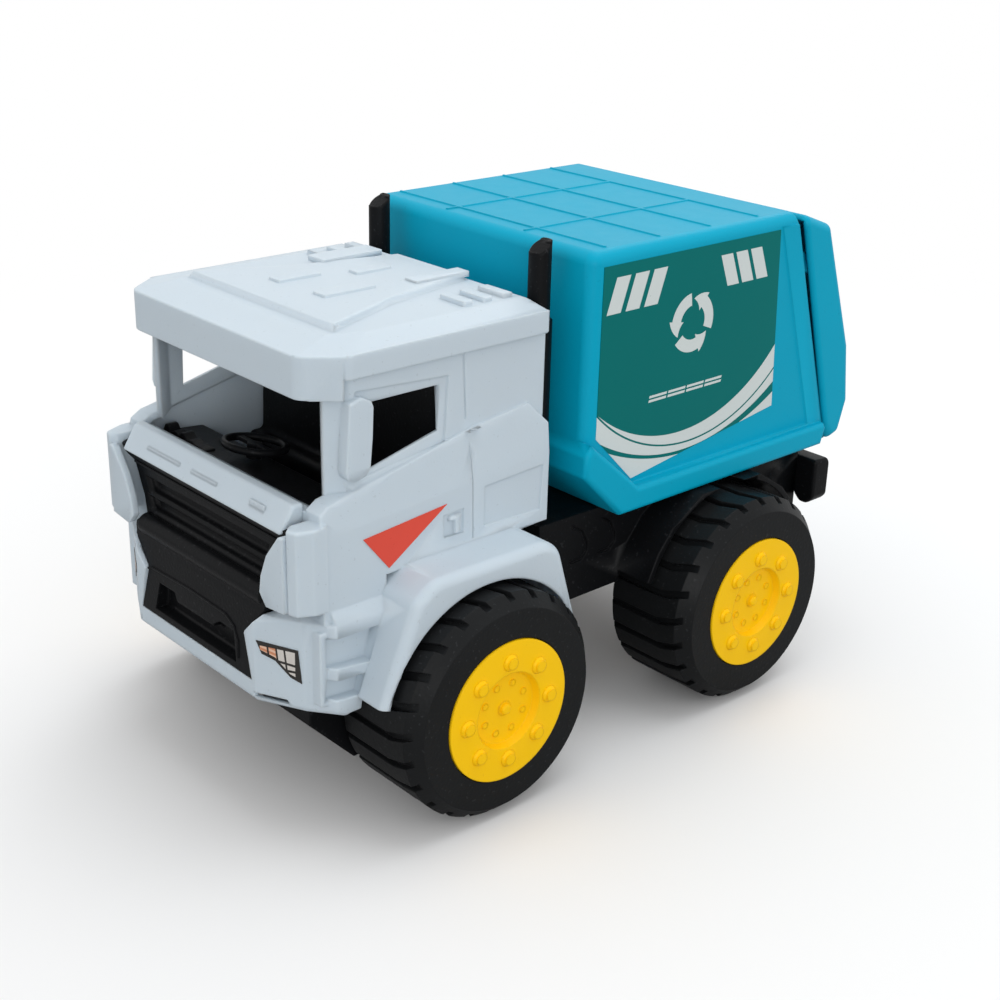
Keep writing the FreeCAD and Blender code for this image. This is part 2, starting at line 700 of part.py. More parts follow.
# Chassis: one black moulding, open underneath
def make_chassis():
    body = new_body("chassis")
    deck_step = stack_y - stack_lower_radius - seam_gap
    side_pad(body, "tank_section", [
        (tank_front, chassis_bottom),
        (chassis_rear, chassis_bottom),
        (chassis_rear, deck_top),
        (tank_front, deck_top),
    ], chassis_half)
    side_pad(body, "cab_section", [
        (chassis_front, chassis_bottom),
        (tank_front + wall, chassis_bottom),
        (tank_front + wall, deck_top),
        (deck_step, deck_top),
        (deck_step, cab_deck_top),
        (chassis_front, cab_deck_top),
    ], spine_half)
    side_pad(body, "skid", [
        (chassis_front, chassis_bottom + wall),
        (chassis_front, skid_nose),
        (skid_front, skid_bottom),
        (skid_rear, skid_bottom),
        (skid_heel_y, skid_heel_z),
        (skid_heel_y + wall, chassis_bottom + wall),
    ], spine_half)
    side_pocket(body, "skid_hollow", [
        (chassis_front + wall, chassis_bottom + wall),
        (chassis_front + wall, skid_nose + wall / 3),
        (skid_front + wall / 3, skid_bottom + wall),
        (skid_rear - wall / 2, skid_bottom + wall),
        (skid_heel_y - wall, skid_heel_z + wall / 2),
        (skid_heel_y, chassis_bottom + wall),
    ], spine_half - wall)
    side_pocket(body, "tank_hollow", [
        (tank_front + wall, chassis_bottom - past),
        (chassis_rear - wall, chassis_bottom - past),
        (chassis_rear - wall, deck_top - wall),
        (tank_front + wall, deck_top - wall),
    ], chassis_half - wall)
    side_pocket(body, "cab_hollow", [
        (chassis_front + wall, chassis_bottom - past),
        (tank_front, chassis_bottom - past),
        (tank_front, deck_top - wall),
        (deck_step - wall, deck_top - wall),
        (deck_step - wall, cab_deck_top - wall),
        (chassis_front + wall, cab_deck_top - wall),
    ], spine_half - wall)
    twin_side_pads(body, "spine_wall", [
        (tank_front, chassis_bottom),
        (chassis_rear, chassis_bottom),
        (chassis_rear, deck_top),
        (tank_front, deck_top),
    ], spine_half - wall, wall)
    twin_side_pads(body, "guard", [on_arc(rear_axle, guard_radius, angle) for angle in guard_front_angles] + [
        (rear_axle - guard_flat_half, deck_top),
        (rear_axle + guard_flat_half, deck_top),
    ] + [on_arc(rear_axle, guard_radius, angle) for angle in guard_rear_angles] + [
        on_arc(rear_axle, wheel_well - wall, guard_rear_angles[-1]),
        (rear_axle, tyre_radius + wheel_well / 2),
        on_arc(rear_axle, wheel_well - wall, guard_front_angles[0]),
    ], chassis_half - wall, guard_half - chassis_half + wall)
    for tag, start, reverse in (("left", spine_half, True), ("right", -spine_half, False)):
        sketch = new_sketch(body, "well_%s_sketch" % tag, "YZ_Plane", start)
        circle(sketch, rear_axle, tyre_radius, wheel_well)
        pocket(body, "well_%s" % tag, sketch, chassis_half, reverse=reverse)
    for tag, axle_y in (("front", front_axle), ("rear", rear_axle)):
        twin_side_pads(body, "%s_bearing" % tag, [
            (axle_y - bearing_lug_half, tyre_radius - bearing_lug_drop),
            (axle_y + bearing_lug_half, tyre_radius - bearing_lug_drop),
            (axle_y + bearing_lug_half, chassis_bottom + wall),
            (axle_y - bearing_lug_half, chassis_bottom + wall),
        ], spine_half - 2 * wall, 2 * wall)
        sketch = new_sketch(body, "%s_bore_sketch" % tag, "YZ_Plane")
        circle(sketch, axle_y, tyre_radius, axle_radius + running_fit)
        pocket(body, "%s_bore" % tag, sketch, 2 * chassis_half, symmetric=True)
    twin_side_pads(body, "pivot_lug", [
        (chassis_rear - lug_radius, deck_top - wall),
        (pivot_y + lug_radius, bumper_bar_top),
        (pivot_y + lug_radius, pivot_z),
        (pivot_y, pivot_z + lug_radius),
        (chassis_rear - lug_radius, deck_top),
    ], lug_place, lug_thickness)
    for number in range(2):
        line = tank_groove_first + number * tank_groove_pitch
        twin_side_cuts(body, "tank_groove_%d" % number, [
            (line - tank_groove_reach, tank_groove_top),
            (line - tank_groove_bend, tank_groove_top - tank_groove_bend),
            (line, tank_groove_top - tank_groove_shoulder),
            (line, tank_groove_bottom + tank_groove_bend),
            (line - tank_groove_bend, tank_groove_bottom),
            (line - tank_groove_foot, tank_groove_bottom),
            (line - tank_groove_foot, tank_groove_bottom + tank_groove_width),
            (line - tank_groove_inner_bend, tank_groove_bottom + tank_groove_width),
            (line - tank_groove_width, tank_groove_bottom + tank_groove_inner_bend),
            (line - tank_groove_width, tank_groove_top - tank_groove_shoulder),
            (line - tank_groove_inner_bend, tank_groove_top - tank_groove_inner_bend),
            (line - tank_groove_reach, tank_groove_top - tank_groove_width),
        ], chassis_half, tank_groove_depth)
    sketch = new_sketch(body, "pivot_bore_sketch", "YZ_Plane")
    circle(sketch, pivot_y, pivot_z, pivot_radius)
    pocket(body, "pivot_bore", sketch, 2 * spine_half, symmetric=True)
    return body


def make_rear_bumper():
    body = new_body("rear_bumper")
    inner = flap_outer - flap_width
    sketch = new_sketch(body, "bar_sketch", "XZ_Plane", -chassis_rear)
    outline(sketch, [
        (-flap_outer, flap_bottom + flap_width / 3),
        (-flap_outer + flap_width / 3, flap_bottom),
        (-inner - flap_width / 4, flap_bottom),
        (-inner, flap_bottom + flap_width / 4),
        (-inner + flap_width / 3, bumper_bar_bottom),
        (inner - flap_width / 3, bumper_bar_bottom),
        (inner, flap_bottom + flap_width / 4),
        (inner + flap_width / 4, flap_bottom),
        (flap_outer - flap_width / 3, flap_bottom),
        (flap_outer, flap_bottom + flap_width / 3),
        (flap_outer, bumper_bar_top),
        (-flap_outer, bumper_bar_top),
    ])
    pad(body, "bar", sketch, bumper_bar_depth, reverse=True)
    round_edges(body, "bar_rounding", flap_width / 3, lambda edge: near(edge.BoundBox.YMin, chassis_rear + bumper_bar_depth)
                and near(edge.BoundBox.ZMin, bumper_bar_top) and edge.BoundBox.XLength > 10)
    return body


def make_pivot_pin():
    rod = doc.addObject("Part::Cylinder", "body_pivot_pin")
    rod.Label = "body_pivot_pin"
    reach = lug_place + 2 * lug_thickness + 2 * seam_gap
    bind(rod, "Radius", pivot_radius)
    bind(rod, "Height", 2 * reach)
    rod.Placement = FreeCAD.Placement(Vector(0, 0, 0), FreeCAD.Rotation(Vector(0, 1, 0), 90))
    bind(rod, "Placement.Base.x", -reach)
    bind(rod, "Placement.Base.y", pivot_y)
    bind(rod, "Placement.Base.z", pivot_z)
    return rod


# Cab shell with bumper, steps and front fenders in one white moulding
def make_cab_shell():
    body = new_body("cab_shell")
    side_pad(body, "fenders", [
        (fender_front, fender_leg_bottom),
        (fender_brow, fender_brow_height),
        (fender_top_front, fender_top),
        (fender_top_rear, fender_top),
        (fender_tail, fender_tail_height),
        (fender_tip, fender_tip_height),
        (fender_tip - 2 * wall, fender_tip_height),
        (front_axle, fender_tip_height - 2 * wall),
        (fender_front + 2 * wall, fender_leg_bottom),
    ], fender_half)
    round_edges(body, "fender_bends", fender_bend, is_fender_bend)
    round_edges(body, "fender_rounding", fender_round, is_fender_rim)
    side_pad(body, "lower_cab", [
        (cab_rear, cab_deck_top),
        (cab_rear, belt_rear - belt_chamfer),
        (cab_rear - belt_chamfer, belt_rear),
        (belt_mid_y, belt_mid),
        (screen_front, belt_front),
        (cab_front, belt_front - wall),
        (cab_front, cheek_bottom),
        (step_rear, cheek_bottom),
        (step_rear, cab_deck_top),
    ], cab_half)
    # above a crease that climbs to the rear the sides lean in a little
    for tag, side in (("left", 1), ("right", -1)):
        sections = []
        for end, place, crease, belt in (("front", cab_front - past, crease_front, belt_front), ("rear", cab_rear + past, crease_rear, belt_rear)):
            sketch = new_sketch(body, "crease_%s_%s_sketch" % (tag, end), "XZ_Plane", -place)
            outline(sketch, [
                (side * cab_half, crease),
                (side * (cab_half - crease_lean), belt + wall),
                (side * (cab_half + wall), belt + wall),
                (side * (cab_half + wall), crease),
            ])
            sections.append(sketch)
        lean = body.newObject("PartDesign::SubtractiveLoft", "crease_" + tag)
        lean.Profile = sections[0]
        lean.Sections = [sections[1]]
        lean.Ruled = True
    sketch = new_sketch(body, "upper_cab_sketch", "XY_Plane", cab_deck_top)
    outline(sketch, cab_plan(as_size(0)))
    pad(body, "upper_cab", sketch, cab_roof_seat - cab_deck_top)
    round_edges(body, "pillar_rounding", pillar_round, is_pillar)
    sketch = new_sketch(body, "bumper_sketch", "XY_Plane", bumper_bottom)
    outline(sketch, bumper_plan(as_size(0)))
    pad(body, "bumper", sketch, cheek_bottom - bumper_bottom)
    round_edges(body, "bumper_rounding", bumper_round, is_bumper_foot)
    loft_up(body, "steps_top", step_plan(step_half), cheek_bottom, step_plan(cab_half + seam_gap), step_top)
    sketch = new_sketch(body, "cheek_sketch", "XY_Plane", cheek_block_bottom)
    for side in (1, -1):
        outline(sketch, [
            (side * cheek_inner, cab_front + wall),
            (side * cheek_inner, cheek_front + wall),
            (side * (cheek_inner + wall), cheek_front),
            (side * (cheek_half - wall), cheek_front + wall / 2),
            (side * cheek_half, cheek_side_front),
            (side * cheek_half, cheek_rear - wall),
            (side * (cab_half - wall), cheek_rear),
        ])
    pad(body, "cheek_blocks", sketch, cheek_block_top - cheek_block_bottom)
    round_edges(body, "cheek_rounding", wall / 2, is_cheek_rim)
    sketch = new_sketch(body, "crescent_sketch", "XZ_Plane", -(crescent_front + crescent_thickness))
    for side in (1, -1):
        outline(sketch, [
            (side * (cheek_inner + wall / 2), crescent_top),
            (side * (cheek_inner - wall / 2), crescent_top),
            (side * crescent_upper_half, crescent_upper),
            (side * crescent_mid_half, crescent_mid),
            (side * crescent_low_half, crescent_low),
            (side * crescent_foot_half, crescent_foot),
            (side * (cheek_inner + wall / 2), crescent_foot + wall / 2),
        ])
    pad(body, "crescents", sketch, crescent_thickness)
    # hollow the cab, open to the roof above and to the chassis below
    side_pocket(body, "lower_hollow", [
        (cab_rear - wall, cab_deck_top - past),
        (cab_rear - wall, belt_rear - belt_chamfer - wall),
        (cab_rear - belt_chamfer - wall / 2, belt_rear - wall),
        (belt_mid_y, belt_mid - wall),
        (screen_front + wall, belt_front - wall),
        (cab_front + wall, belt_front - 2 * wall),
        (cab_front + wall, bumper_bottom - past),
        (step_rear - wall, bumper_bottom - past),
        (step_rear - wall, cab_deck_top - past),
    ], cab_half - crease_lean - wall)
    sketch = new_sketch(body, "upper_hollow_sketch", "XY_Plane", cab_roof_seat)
    outline(sketch, cab_plan(wall))
    pocket(body, "upper_hollow", sketch, cab_roof_seat - cab_deck_top + past)
    sketch = new_sketch(body, "bumper_hollow_sketch", "XY_Plane", cheek_bottom - wall)
    outline(sketch, bumper_plan(wall))
    pocket(body, "bumper_hollow", sketch, cheek_bottom - bumper_bottom)
    side_pocket(body, "fender_hollow", [
        (fender_front + wall, fender_leg_bottom - past),
        (fender_brow + wall, fender_brow_height - wall / 2),
        (fender_top_front + wall / 2, fender_top - wall),
        (fender_top_rear - wall / 2, fender_top - wall),
        (fender_tail - wall, fender_tail_height - wall),
        (fender_tip - wall, fender_tip_height - wall),
        (fender_tip - 2 * wall, bumper_bottom),
    ], fender_half - wall)
    twin_side_pads(body, "step_backing", [
        (recess_front - wall, recess_bottom - wall),
        (recess_rear_bottom + wall, recess_bottom - wall),
        (recess_rear_top + wall, recess_top + wall),
        (recess_front - wall, recess_top + wall),
    ], step_half - recess_depth - wall, recess_depth)
    sketch = new_sketch(body, "arch_sketch", "YZ_Plane")
    circle(sketch, front_axle, tyre_radius, tyre_radius + arch_gap)
    pocket(body, "arch", sketch, 2 * (fender_half + past), symmetric=True)
    # room for the chassis below the cab floor
    side_pocket(body, "spine_room", [
        (chassis_front - seam_gap, bumper_bottom - past),
        (cab_rear + past, bumper_bottom - past),
        (cab_rear + past, cab_deck_top),
        (chassis_front - seam_gap, cab_deck_top),
    ], spine_half + seam_gap)
    twin_side_cuts(body, "upper_recess", [
        (recess_front, recess_top),
        (recess_front, recess_rung_top + rung_rake),
        (recess_rear_rung, recess_rung_top - rung_rake),
        (recess_rear_top, recess_top),
    ], step_half, recess_depth)
    twin_side_cuts(body, "lower_recess", [
        (recess_front, recess_rung_bottom),
        (recess_front - wall / 4, recess_bottom),
        (recess_rear_bottom, recess_bottom - wall / 2),
        (recess_rear_rung_foot, recess_rung_bottom - rung_rake),
    ], step_half, recess_depth)
    sketch = new_sketch(body, "bumper_slot_sketch", "XZ_Plane", -bumper_front + past)
    for side in (1, -1):
        outline(sketch, [
            (side * bumper_slot_inner, bumper_slot_bottom),
            (side * bumper_slot_outer, bumper_slot_bottom),
            (side * (bumper_slot_outer - 1), bumper_slot_bottom + bumper_slot_height),
            (side * bumper_slot_inner, bumper_slot_bottom + bumper_slot_height),
        ])
    pocket(body, "bumper_slots", sketch, bumper_corner_back + wall)
    # shallow door lines, frames and the mirror shells
    twin_side_cuts(body, "window_frame", [
        (frame_front, frame_top),
        (frame_rear, frame_top - wall),
        (frame_rear - 1, window_sill_rear - 2 * wall),
        (window_front_foot - 2, window_sill_front - 1),
    ], cab_upper_half, frame_depth)
    twin_side_cuts(body, "upper_seam", [
        (door_seam_head, cab_roof_seat),
        (door_seam_belt, belt_rear),
        (door_seam_belt + seam_width, belt_rear),
        (door_seam_head + seam_width, cab_roof_seat),
    ], cab_upper_half, seam_depth)
    twin_side_cuts(body, "lower_seam", [
        (door_seam_crest, belt_mid),
        (door_seam, door_seam_foot),
        (door_seam + seam_width, door_seam_foot),
        (door_seam_crest + seam_width, belt_mid),
    ], cab_half, seam_depth + crease_lean / 2)
    twin_side_cuts(body, "door_panel", [
        (panel_front, panel_top - panel_rake),
        (panel_rear, panel_top + panel_rake),
        (panel_rear - panel_rake, panel_bottom),
        (panel_front, panel_bottom + panel_rake),
    ], cab_half, seam_depth)
    twin_side_cuts(body, "handle_frame", [
        (handle_front, handle_top),
        (handle_rear, handle_top + handle_rake),
        (handle_rear, handle_bottom + handle_rake / 2),
        (handle_front + handle_rake / 2, handle_bottom),
    ], cab_half, seam_depth)
    twin_side_pads(body, "handle", [
        (handle_front + wall, handle_top - handle_inset),
        (handle_rear - wall, handle_top - handle_inset + handle_rake),
        (handle_rear - wall - handle_rake, handle_bottom + handle_inset),
        (handle_rear - 2 * wall, handle_bottom + handle_inset),
        (handle_rear - 2 * wall, handle_top - wall),
        (handle_front + wall, handle_top - wall),
    ], cab_half - wall, wall + handle_height)
    twin_side_pads(body, "mirror", [
        (mirror_front + mirror_front_corner, mirror_top - mirror_corner),
        (mirror_front + mirror_head_length, mirror_top),
        (mirror_rear - mirror_corner, mirror_top - mirror_rear_corner),
        (mirror_rear, mirror_top - mirror_shoulder),
        (mirror_rear - mirror_foot_lean, mirror_bottom + mirror_foot),
        (mirror_rear - mirror_foot, mirror_bottom + mirror_corner),
        (mirror_front + mirror_foot_front, mirror_bottom),
        (mirror_front + mirror_corner / 2, mirror_bottom + mirror_corner),
        (mirror_front, mirror_bottom + mirror_foot),
    ], cab_upper_half - wall, wall + mirror_out)
    # windows
    side_pocket(body, "side_windows", [
        (window_rear, window_sill_rear),
        (window_rear, window_head),
        (window_front_head, window_head),
        (window_front_foot, window_sill_front),
    ], cab_half + past)
    sketch = new_sketch(body, "screen_sketch", "XZ_Plane", -cab_front + past)
    outline(sketch, [
        (-(cab_upper_half - pillar_width), screen_sill),
        (cab_upper_half - pillar_width, screen_sill),
        (cab_upper_half - pillar_width, screen_head),
        (-(cab_upper_half - pillar_width), screen_head),
    ])
    pocket(body, "screen", sketch, 4 * wall)
    # seat of the grille insert in the bumper
    sketch = new_sketch(body, "grille_seat_sketch", "XZ_Plane", -bumper_front + past)
    outline(sketch, [
        (-grille_low_half - seam_gap, bumper_bottom + bumper_lip_height),
        (grille_low_half + seam_gap, bumper_bottom + bumper_lip_height),
        (grille_waist_half + seam_gap, grille_waist),
        (grille_mid_half + seam_gap, cheek_bottom + 0.5),
        (-grille_mid_half - seam_gap, cheek_bottom + 0.5),
        (-grille_waist_half - seam_gap, grille_waist),
    ])
    pocket(body, "grille_seat", sketch, cab_front - bumper_front + past)
    return body


def is_pillar(edge):
    box = edge.BoundBox
    stands = box.XLength < 0.01 and box.YLength < 0.01 and box.ZLength > 5
    return stands and (near(box.YMin, screen_front) or near(box.YMin, screen_corner_rear))


def is_fender_bend(edge):
    box = edge.BoundBox
    bends = (fender_brow, fender_top_front, fender_top_rear, fender_tail)
    return across(edge) and any(near(box.YMin, bend) for bend in bends)


def is_fender_rim(edge):
    box = edge.BoundBox
    side = near(abs(box.XMin), fender_half) and box.XLength < 0.01
    return side and box.ZMax > (fender_tip_height + wall).number


def is_bumper_foot(edge):
    box = edge.BoundBox
    return near(box.ZMax, bumper_bottom) and box.YMax < (step_rear - 0.1).number


def is_cheek_rim(edge):
    box = edge.BoundBox
    outside = box.YMax < (cab_front - 0.1).number and abs(box.XMin + box.XMax) > 2 * (cheek_inner - 0.1).number
    return outside and (near(box.ZMin, cheek_block_top) or near(box.ZMax, cheek_block_bottom) or box.ZLength > 10)


def cab_plan(inset):
    side = cab_upper_half - inset
    front = screen_front + inset
    return [
        (-side, cab_rear - cab_rear_step - inset),
        (-side, screen_corner_rear + inset * corner_inset),
        (-(screen_front_half - inset * corner_inset), front),
        (screen_front_half - inset * corner_inset, front),
        (side, screen_corner_rear + inset * corner_inset),
        (side, cab_rear - cab_rear_step - inset),
    ]


def bumper_plan(inset):
    front = bumper_front + inset
    side = step_half - inset
    corner = bumper_front + bumper_corner_back + inset * bumper_corner_inset
    corner_half = bumper_corner_half - inset * bumper_corner_inset
    flat_half = bumper_flat_half - inset * bumper_flat_inset
    side_start = bumper_front + bumper_side_start + inset * bumper_flat_inset
    return [
        (-side, step_rear - inset),
        (-side, side_start),
        (-corner_half, corner),
        (-flat_half, front),
        (flat_half, front),
        (corner_half, corner),
        (side, side_start),
        (side, step_rear - inset),
    ]


def step_plan(side):
    front = bumper_front + bumper_side_start
    return [(-side, front), (side, front), (side, step_rear), (-side, step_rear)]


def roof_plan(inset, front_inset):
    side = roof_half - inset
    rear = roof_rear - inset * roof_rear_inset
    front_half = visor_front_half - inset * visor_inset
    return [
        (-side, rear),
        (-side, roof_side_front + front_inset),
        (-front_half, visor_front + front_inset),
        (front_half, visor_front + front_inset),
        (side, roof_side_front + front_inset),
        (side, rear),
    ]


def plateau_plan(inset):
    rear_half = plateau_rear_half - inset
    waist_half = plateau_waist_half - inset
    front_half = plateau_front_half - inset
    return [
        (-front_half, plateau_front + inset),
        (front_half, plateau_front + inset),
        (waist_half, plateau_waist),
        (rear_half, plateau_rear - inset),
        (-rear_half, plateau_rear - inset),
        (-waist_half, plateau_waist),
    ]


def loft_up(body, name, lower_corners, lower_z, upper_corners, upper_z):
    """A ruled loft between two plans at two heights."""
    lower = new_sketch(body, name + "_foot", "XY_Plane", lower_z)
    outline(lower, lower_corners)
    upper = new_sketch(body, name + "_head", "XY_Plane", upper_z)
    outline(upper, upper_corners)
    feature = body.newObject("PartDesign::AdditiveLoft", name)
    feature.Profile = lower
    feature.Sections = [upper]
    feature.Ruled = True
    return feature


def is_roof_corner(edge):
    box = edge.BoundBox
    stands = box.XLength < 0.01 and box.YLength < 0.01 and near(box.ZMax, rail_top)
    return stands and (near(box.YMin, visor_front) or near(box.YMin, roof_side_front))


def is_slope_corner(edge):
    box = edge.BoundBox
    return near(box.ZMax, roof_shoulder) and box.ZLength > 1 and box.YMax < (roof_side_front + roof_front_slope + 1).number


def is_roof_edge(edge):
    box = edge.BoundBox
    return near(box.ZMin, roof_shoulder) and near(box.ZMax, roof_shoulder)


def make_cab_roof():
    body = new_body("cab_roof")
    base = new_sketch(body, "rail_sketch", "XY_Plane", cab_roof_seat)
    outline(base, roof_plan(as_size(0), as_size(0)))
    pad(body, "rail", base, rail_top - cab_roof_seat)
    skirt = new_sketch(body, "skirt_sketch", "XY_Plane", visor_bottom)
    skirt_half = roof_half - (roof_half - visor_front_half) * roof_rear_inset
    skirt_rear = roof_side_front + (visor_front - roof_side_front) * roof_rear_inset
    outline(skirt, [
        (-skirt_half, skirt_rear),
        (-visor_front_half, visor_front),
        (visor_front_half, visor_front),
        (skirt_half, skirt_rear),
        (skirt_half - visor_skirt, skirt_rear),
        (visor_front_half - visor_skirt / 2, visor_front + visor_skirt),
        (-(visor_front_half - visor_skirt / 2), visor_front + visor_skirt),
        (-(skirt_half - visor_skirt), skirt_rear),
    ])
    pad(body, "skirt", skirt, cab_roof_seat - visor_bottom)
    round_edges(body, "corner_rounding", roof_corner_round, is_roof_corner)
    loft_up(body, "slope", roof_plan(roof_ledge, roof_ledge), rail_top,
            roof_plan(roof_side_slope, roof_front_slope), roof_shoulder)
    round_edges(body, "slope_rounding", roof_corner_round, is_slope_corner)
    round_edges(body, "edge_rounding", roof_edge_round, is_roof_edge)
    loft_up(body, "plateau", plateau_plan(as_size(0)), roof_shoulder - wall / 2,
            plateau_plan(plateau_slope), roof_top)
    for number, (x, y, half_x, half_y) in enumerate(roof_ribs):
        rib = new_sketch(body, "rib_%d_sketch" % number, "XY_Plane", roof_top - wall / 2)
        outline(rib, [(x - half_x, y - half_y), (x + half_x, y - half_y), (x + half_x, y + half_y), (x - half_x, y + half_y)])
        pad(body, "rib_%d" % number, rib, roof_rib_height + wall / 2)
    vents = new_sketch(body, "vent_sketch", "XY_Plane", roof_shoulder - wall)
    for number in range(vent_count):
        middle = vent_first + number * vent_pitch
        for side in (1, -1):
            outline(vents, [
                (side * vent_inner, middle - vent_width / 2),
                (side * vent_outer, middle - vent_width / 2),
                (side * vent_outer, middle + vent_width / 2),
                (side * vent_inner, middle + vent_width / 2),
            ])
    pad(body, "vents", vents, vent_top - roof_shoulder + wall)
    hollow = new_sketch(body, "hollow_sketch", "XY_Plane", rail_top - wall)
    outline(hollow, [
        (-(cab_upper_half - wall), roof_rear - 2 * wall),
        (-(cab_upper_half - wall), roof_side_front + wall),
        (-(visor_front_half - 2 * wall), visor_front + 3 * wall),
        (visor_front_half - 2 * wall, visor_front + 3 * wall),
        (cab_upper_half - wall, roof_side_front + wall),
        (cab_upper_half - wall, roof_rear - 2 * wall),
    ])
    pocket(body, "hollow", hollow, rail_top - wall - cab_roof_seat)
    return body


def make_grille():
    body = new_body("grille")
    back = cab_front
    foot = bumper_bottom + bumper_lip_height + seam_gap
    side_pad(body, "block", [
        (back, foot),
        (bumper_front, foot),
        (bumper_front + wall, grille_mid - grille_bar_height),
        (grille_mid_bar_front, grille_mid - grille_bar_height / 2),
        (grille_mid_bar_front, grille_mid + grille_bar_height / 2),
        (grille_panel_front, grille_mid + grille_bar_height),
        (grille_panel_front, grille_top - grille_bar_height - wall),
        (grille_top_bar_front, grille_top - grille_bar_height),
        (grille_top_bar_front, grille_top - 1),
        (back, grille_top),
    ], grille_top_half)
    # trim both ends to the pointed outline
    sketch = new_sketch(body, "ends_sketch", "XZ_Plane", -bumper_front + past)
    for side in (1, -1):
        outline(sketch, [
            (side * grille_top_half, grille_top + past),
            (side * (grille_top_half + past), grille_top + past),
            (side * (grille_top_half + past), foot - past),
            (side * grille_low_half, foot - past),
            (side * grille_low_half, foot),
            (side * grille_waist_half, grille_waist),
            (side * grille_mid_half, cheek_bottom + wall / 2),
            (side * grille_mid_half, crescent_foot),
            (side * (crescent_low_half - seam_gap), crescent_low),
            (side * (crescent_mid_half - seam_gap), crescent_mid),
            (side * (crescent_upper_half - seam_gap), crescent_upper),
            (side * (cheek_inner - wall / 2 - seam_gap), crescent_top),
            (side * grille_top_half, crescent_top + seam_gap),
        ])
    pocket(body, "ends", sketch, cab_front - bumper_front + 2 * past)
    for number in range(slot_count):
        low = slot_first + number * (slot_height + wall)
        sketch = new_sketch(body, "slot_%d_sketch" % number, "XZ_Plane", -grille_panel_front)
        outline(sketch, [
            (-(crescent_low_half - 2 * wall), low),
            (crescent_low_half - 2 * wall, low),
            (crescent_low_half - wall, low + slot_height),
            (-(crescent_low_half - wall), low + slot_height),
        ])
        pocket(body, "slot_%d" % number, sketch, slot_depth)
    sketch = new_sketch(body, "mouth_sketch", "XZ_Plane", -bumper_front + past)
    outline(sketch, [
        (-mouth_half, foot + wall),
        (mouth_half, foot + wall),
        (mouth_half - wall, foot + wall + mouth_height),
        (mouth_bump_half + wall, foot + wall + mouth_height),
        (mouth_bump_half, foot + wall + mouth_height - mouth_bump_height),
        (-mouth_bump_half, foot + wall + mouth_height - mouth_bump_height),
        (-mouth_bump_half - wall, foot + wall + mouth_height),
        (-mouth_half + wall, foot + wall + mouth_height),
    ])
    pocket(body, "mouth", sketch, mouth_depth + past)
    return body


# Black interior moulding: floor, dashboard, two seats and a steering wheel
def make_interior():
    body = new_body("interior_tray")
    tray_half = cab_upper_half - wall - seam_gap
    front = cab_front + 2 * wall + seam_gap
    rear = cab_rear - cab_rear_step - wall - seam_gap
    floor = cab_deck_top + wall
    side_pad(body, "floor", [
        (front, cab_deck_top),
        (rear, cab_deck_top),
        (rear, floor),
        (front, floor),
    ], spine_half)
    side_pad(body, "dash", [
        (front, floor),
        (dash_rear - wall, floor),
        (dash_rear, dash_top - 3 * wall),
        (dash_rear - wall, dash_top),
        (front, dash_top + wall),
    ], tray_half)
    return body


def make_seat(label, side):
    body = new_body(label)
    floor = cab_deck_top + wall
    rear = seat_back_front + seat_back_depth
    sketch = new_sketch(body, label + "_sketch", "YZ_Plane", side * seat_place - seat_half_width)
    outline(sketch, [
        (seat_front, floor),
        (rear, floor),
        (rear + seat_back_lean, seat_back_top - wall),
        (rear + seat_back_lean - wall, seat_back_top),
        (seat_back_front + seat_back_lean + wall, seat_back_top),
        (seat_back_front + seat_back_lean, seat_back_top - wall),
        (seat_back_front, seat_height),
        (seat_front + wall, seat_height),
        (seat_front, seat_height - wall),
    ])
    pad(body, label + "_pad", sketch, 2 * seat_half_width)
    return body


def make_steering_wheel():
    body = new_body("steering_wheel")
    sketch = new_sketch(body, "rim_sketch", "XZ_Plane")
    circle(sketch, steering_radius, 0, steering_rim)
    rim = body.newObject("PartDesign::Revolution", "rim")
    rim.Profile = sketch
    rim.ReferenceAxis = (sketch, ["V_Axis"])
    rim.Angle = 360
    sketch = new_sketch(body, "spokes_sketch", "XY_Plane", -steering_rim / 2)
    outline(sketch, [
        (-steering_radius, -steering_rim),
        (steering_radius, -steering_rim),
        (steering_radius, steering_rim),
        (-steering_radius, steering_rim),
    ])
    pad(body, "spokes", sketch, steering_rim)
    sketch = new_sketch(body, "column_sketch", "XY_Plane", steering_rim / 2)
    circle(sketch, 0, 0, 2 * steering_rim)
    pad(body, "column", sketch, steering_column, reverse=True)
    body.Placement = FreeCAD.Placement(Vector(0, 0, 0), FreeCAD.Rotation(Vector(1, 0, 0), steering_tilt))
    bind(body, "Placement.Base.x", steering_place)
    bind(body, "Placement.Base.y", steering_y)
    bind(body, "Placement.Base.z", steering_z)
    return body


def make_stack(label, side):
    body = new_body(label)
    sketch = new_sketch(body, label + "_lower_sketch", "XY_Plane", deck_top)
    circle(sketch, side * stack_place, stack_y, stack_lower_radius)
    pad(body, label + "_lower", sketch, stack_step - deck_top)
    sketch = new_sketch(body, label + "_upper_sketch", "XY_Plane", stack_step)
    circle(sketch, side * stack_place, stack_y, stack_radius)
    pad(body, label + "_upper", sketch, stack_top - stack_step)
    sketch = new_sketch(body, label + "_cut_sketch", "YZ_Plane")
    outline(sketch, [
        (stack_y - stack_radius - past, stack_top + past),
        (stack_y - stack_radius - past, stack_top - stack_cut),
        (stack_y + stack_radius + past, stack_top + past),
    ])
    pocket(body, label + "_cut", sketch, 2 * body_half, symmetric=True)
    return body


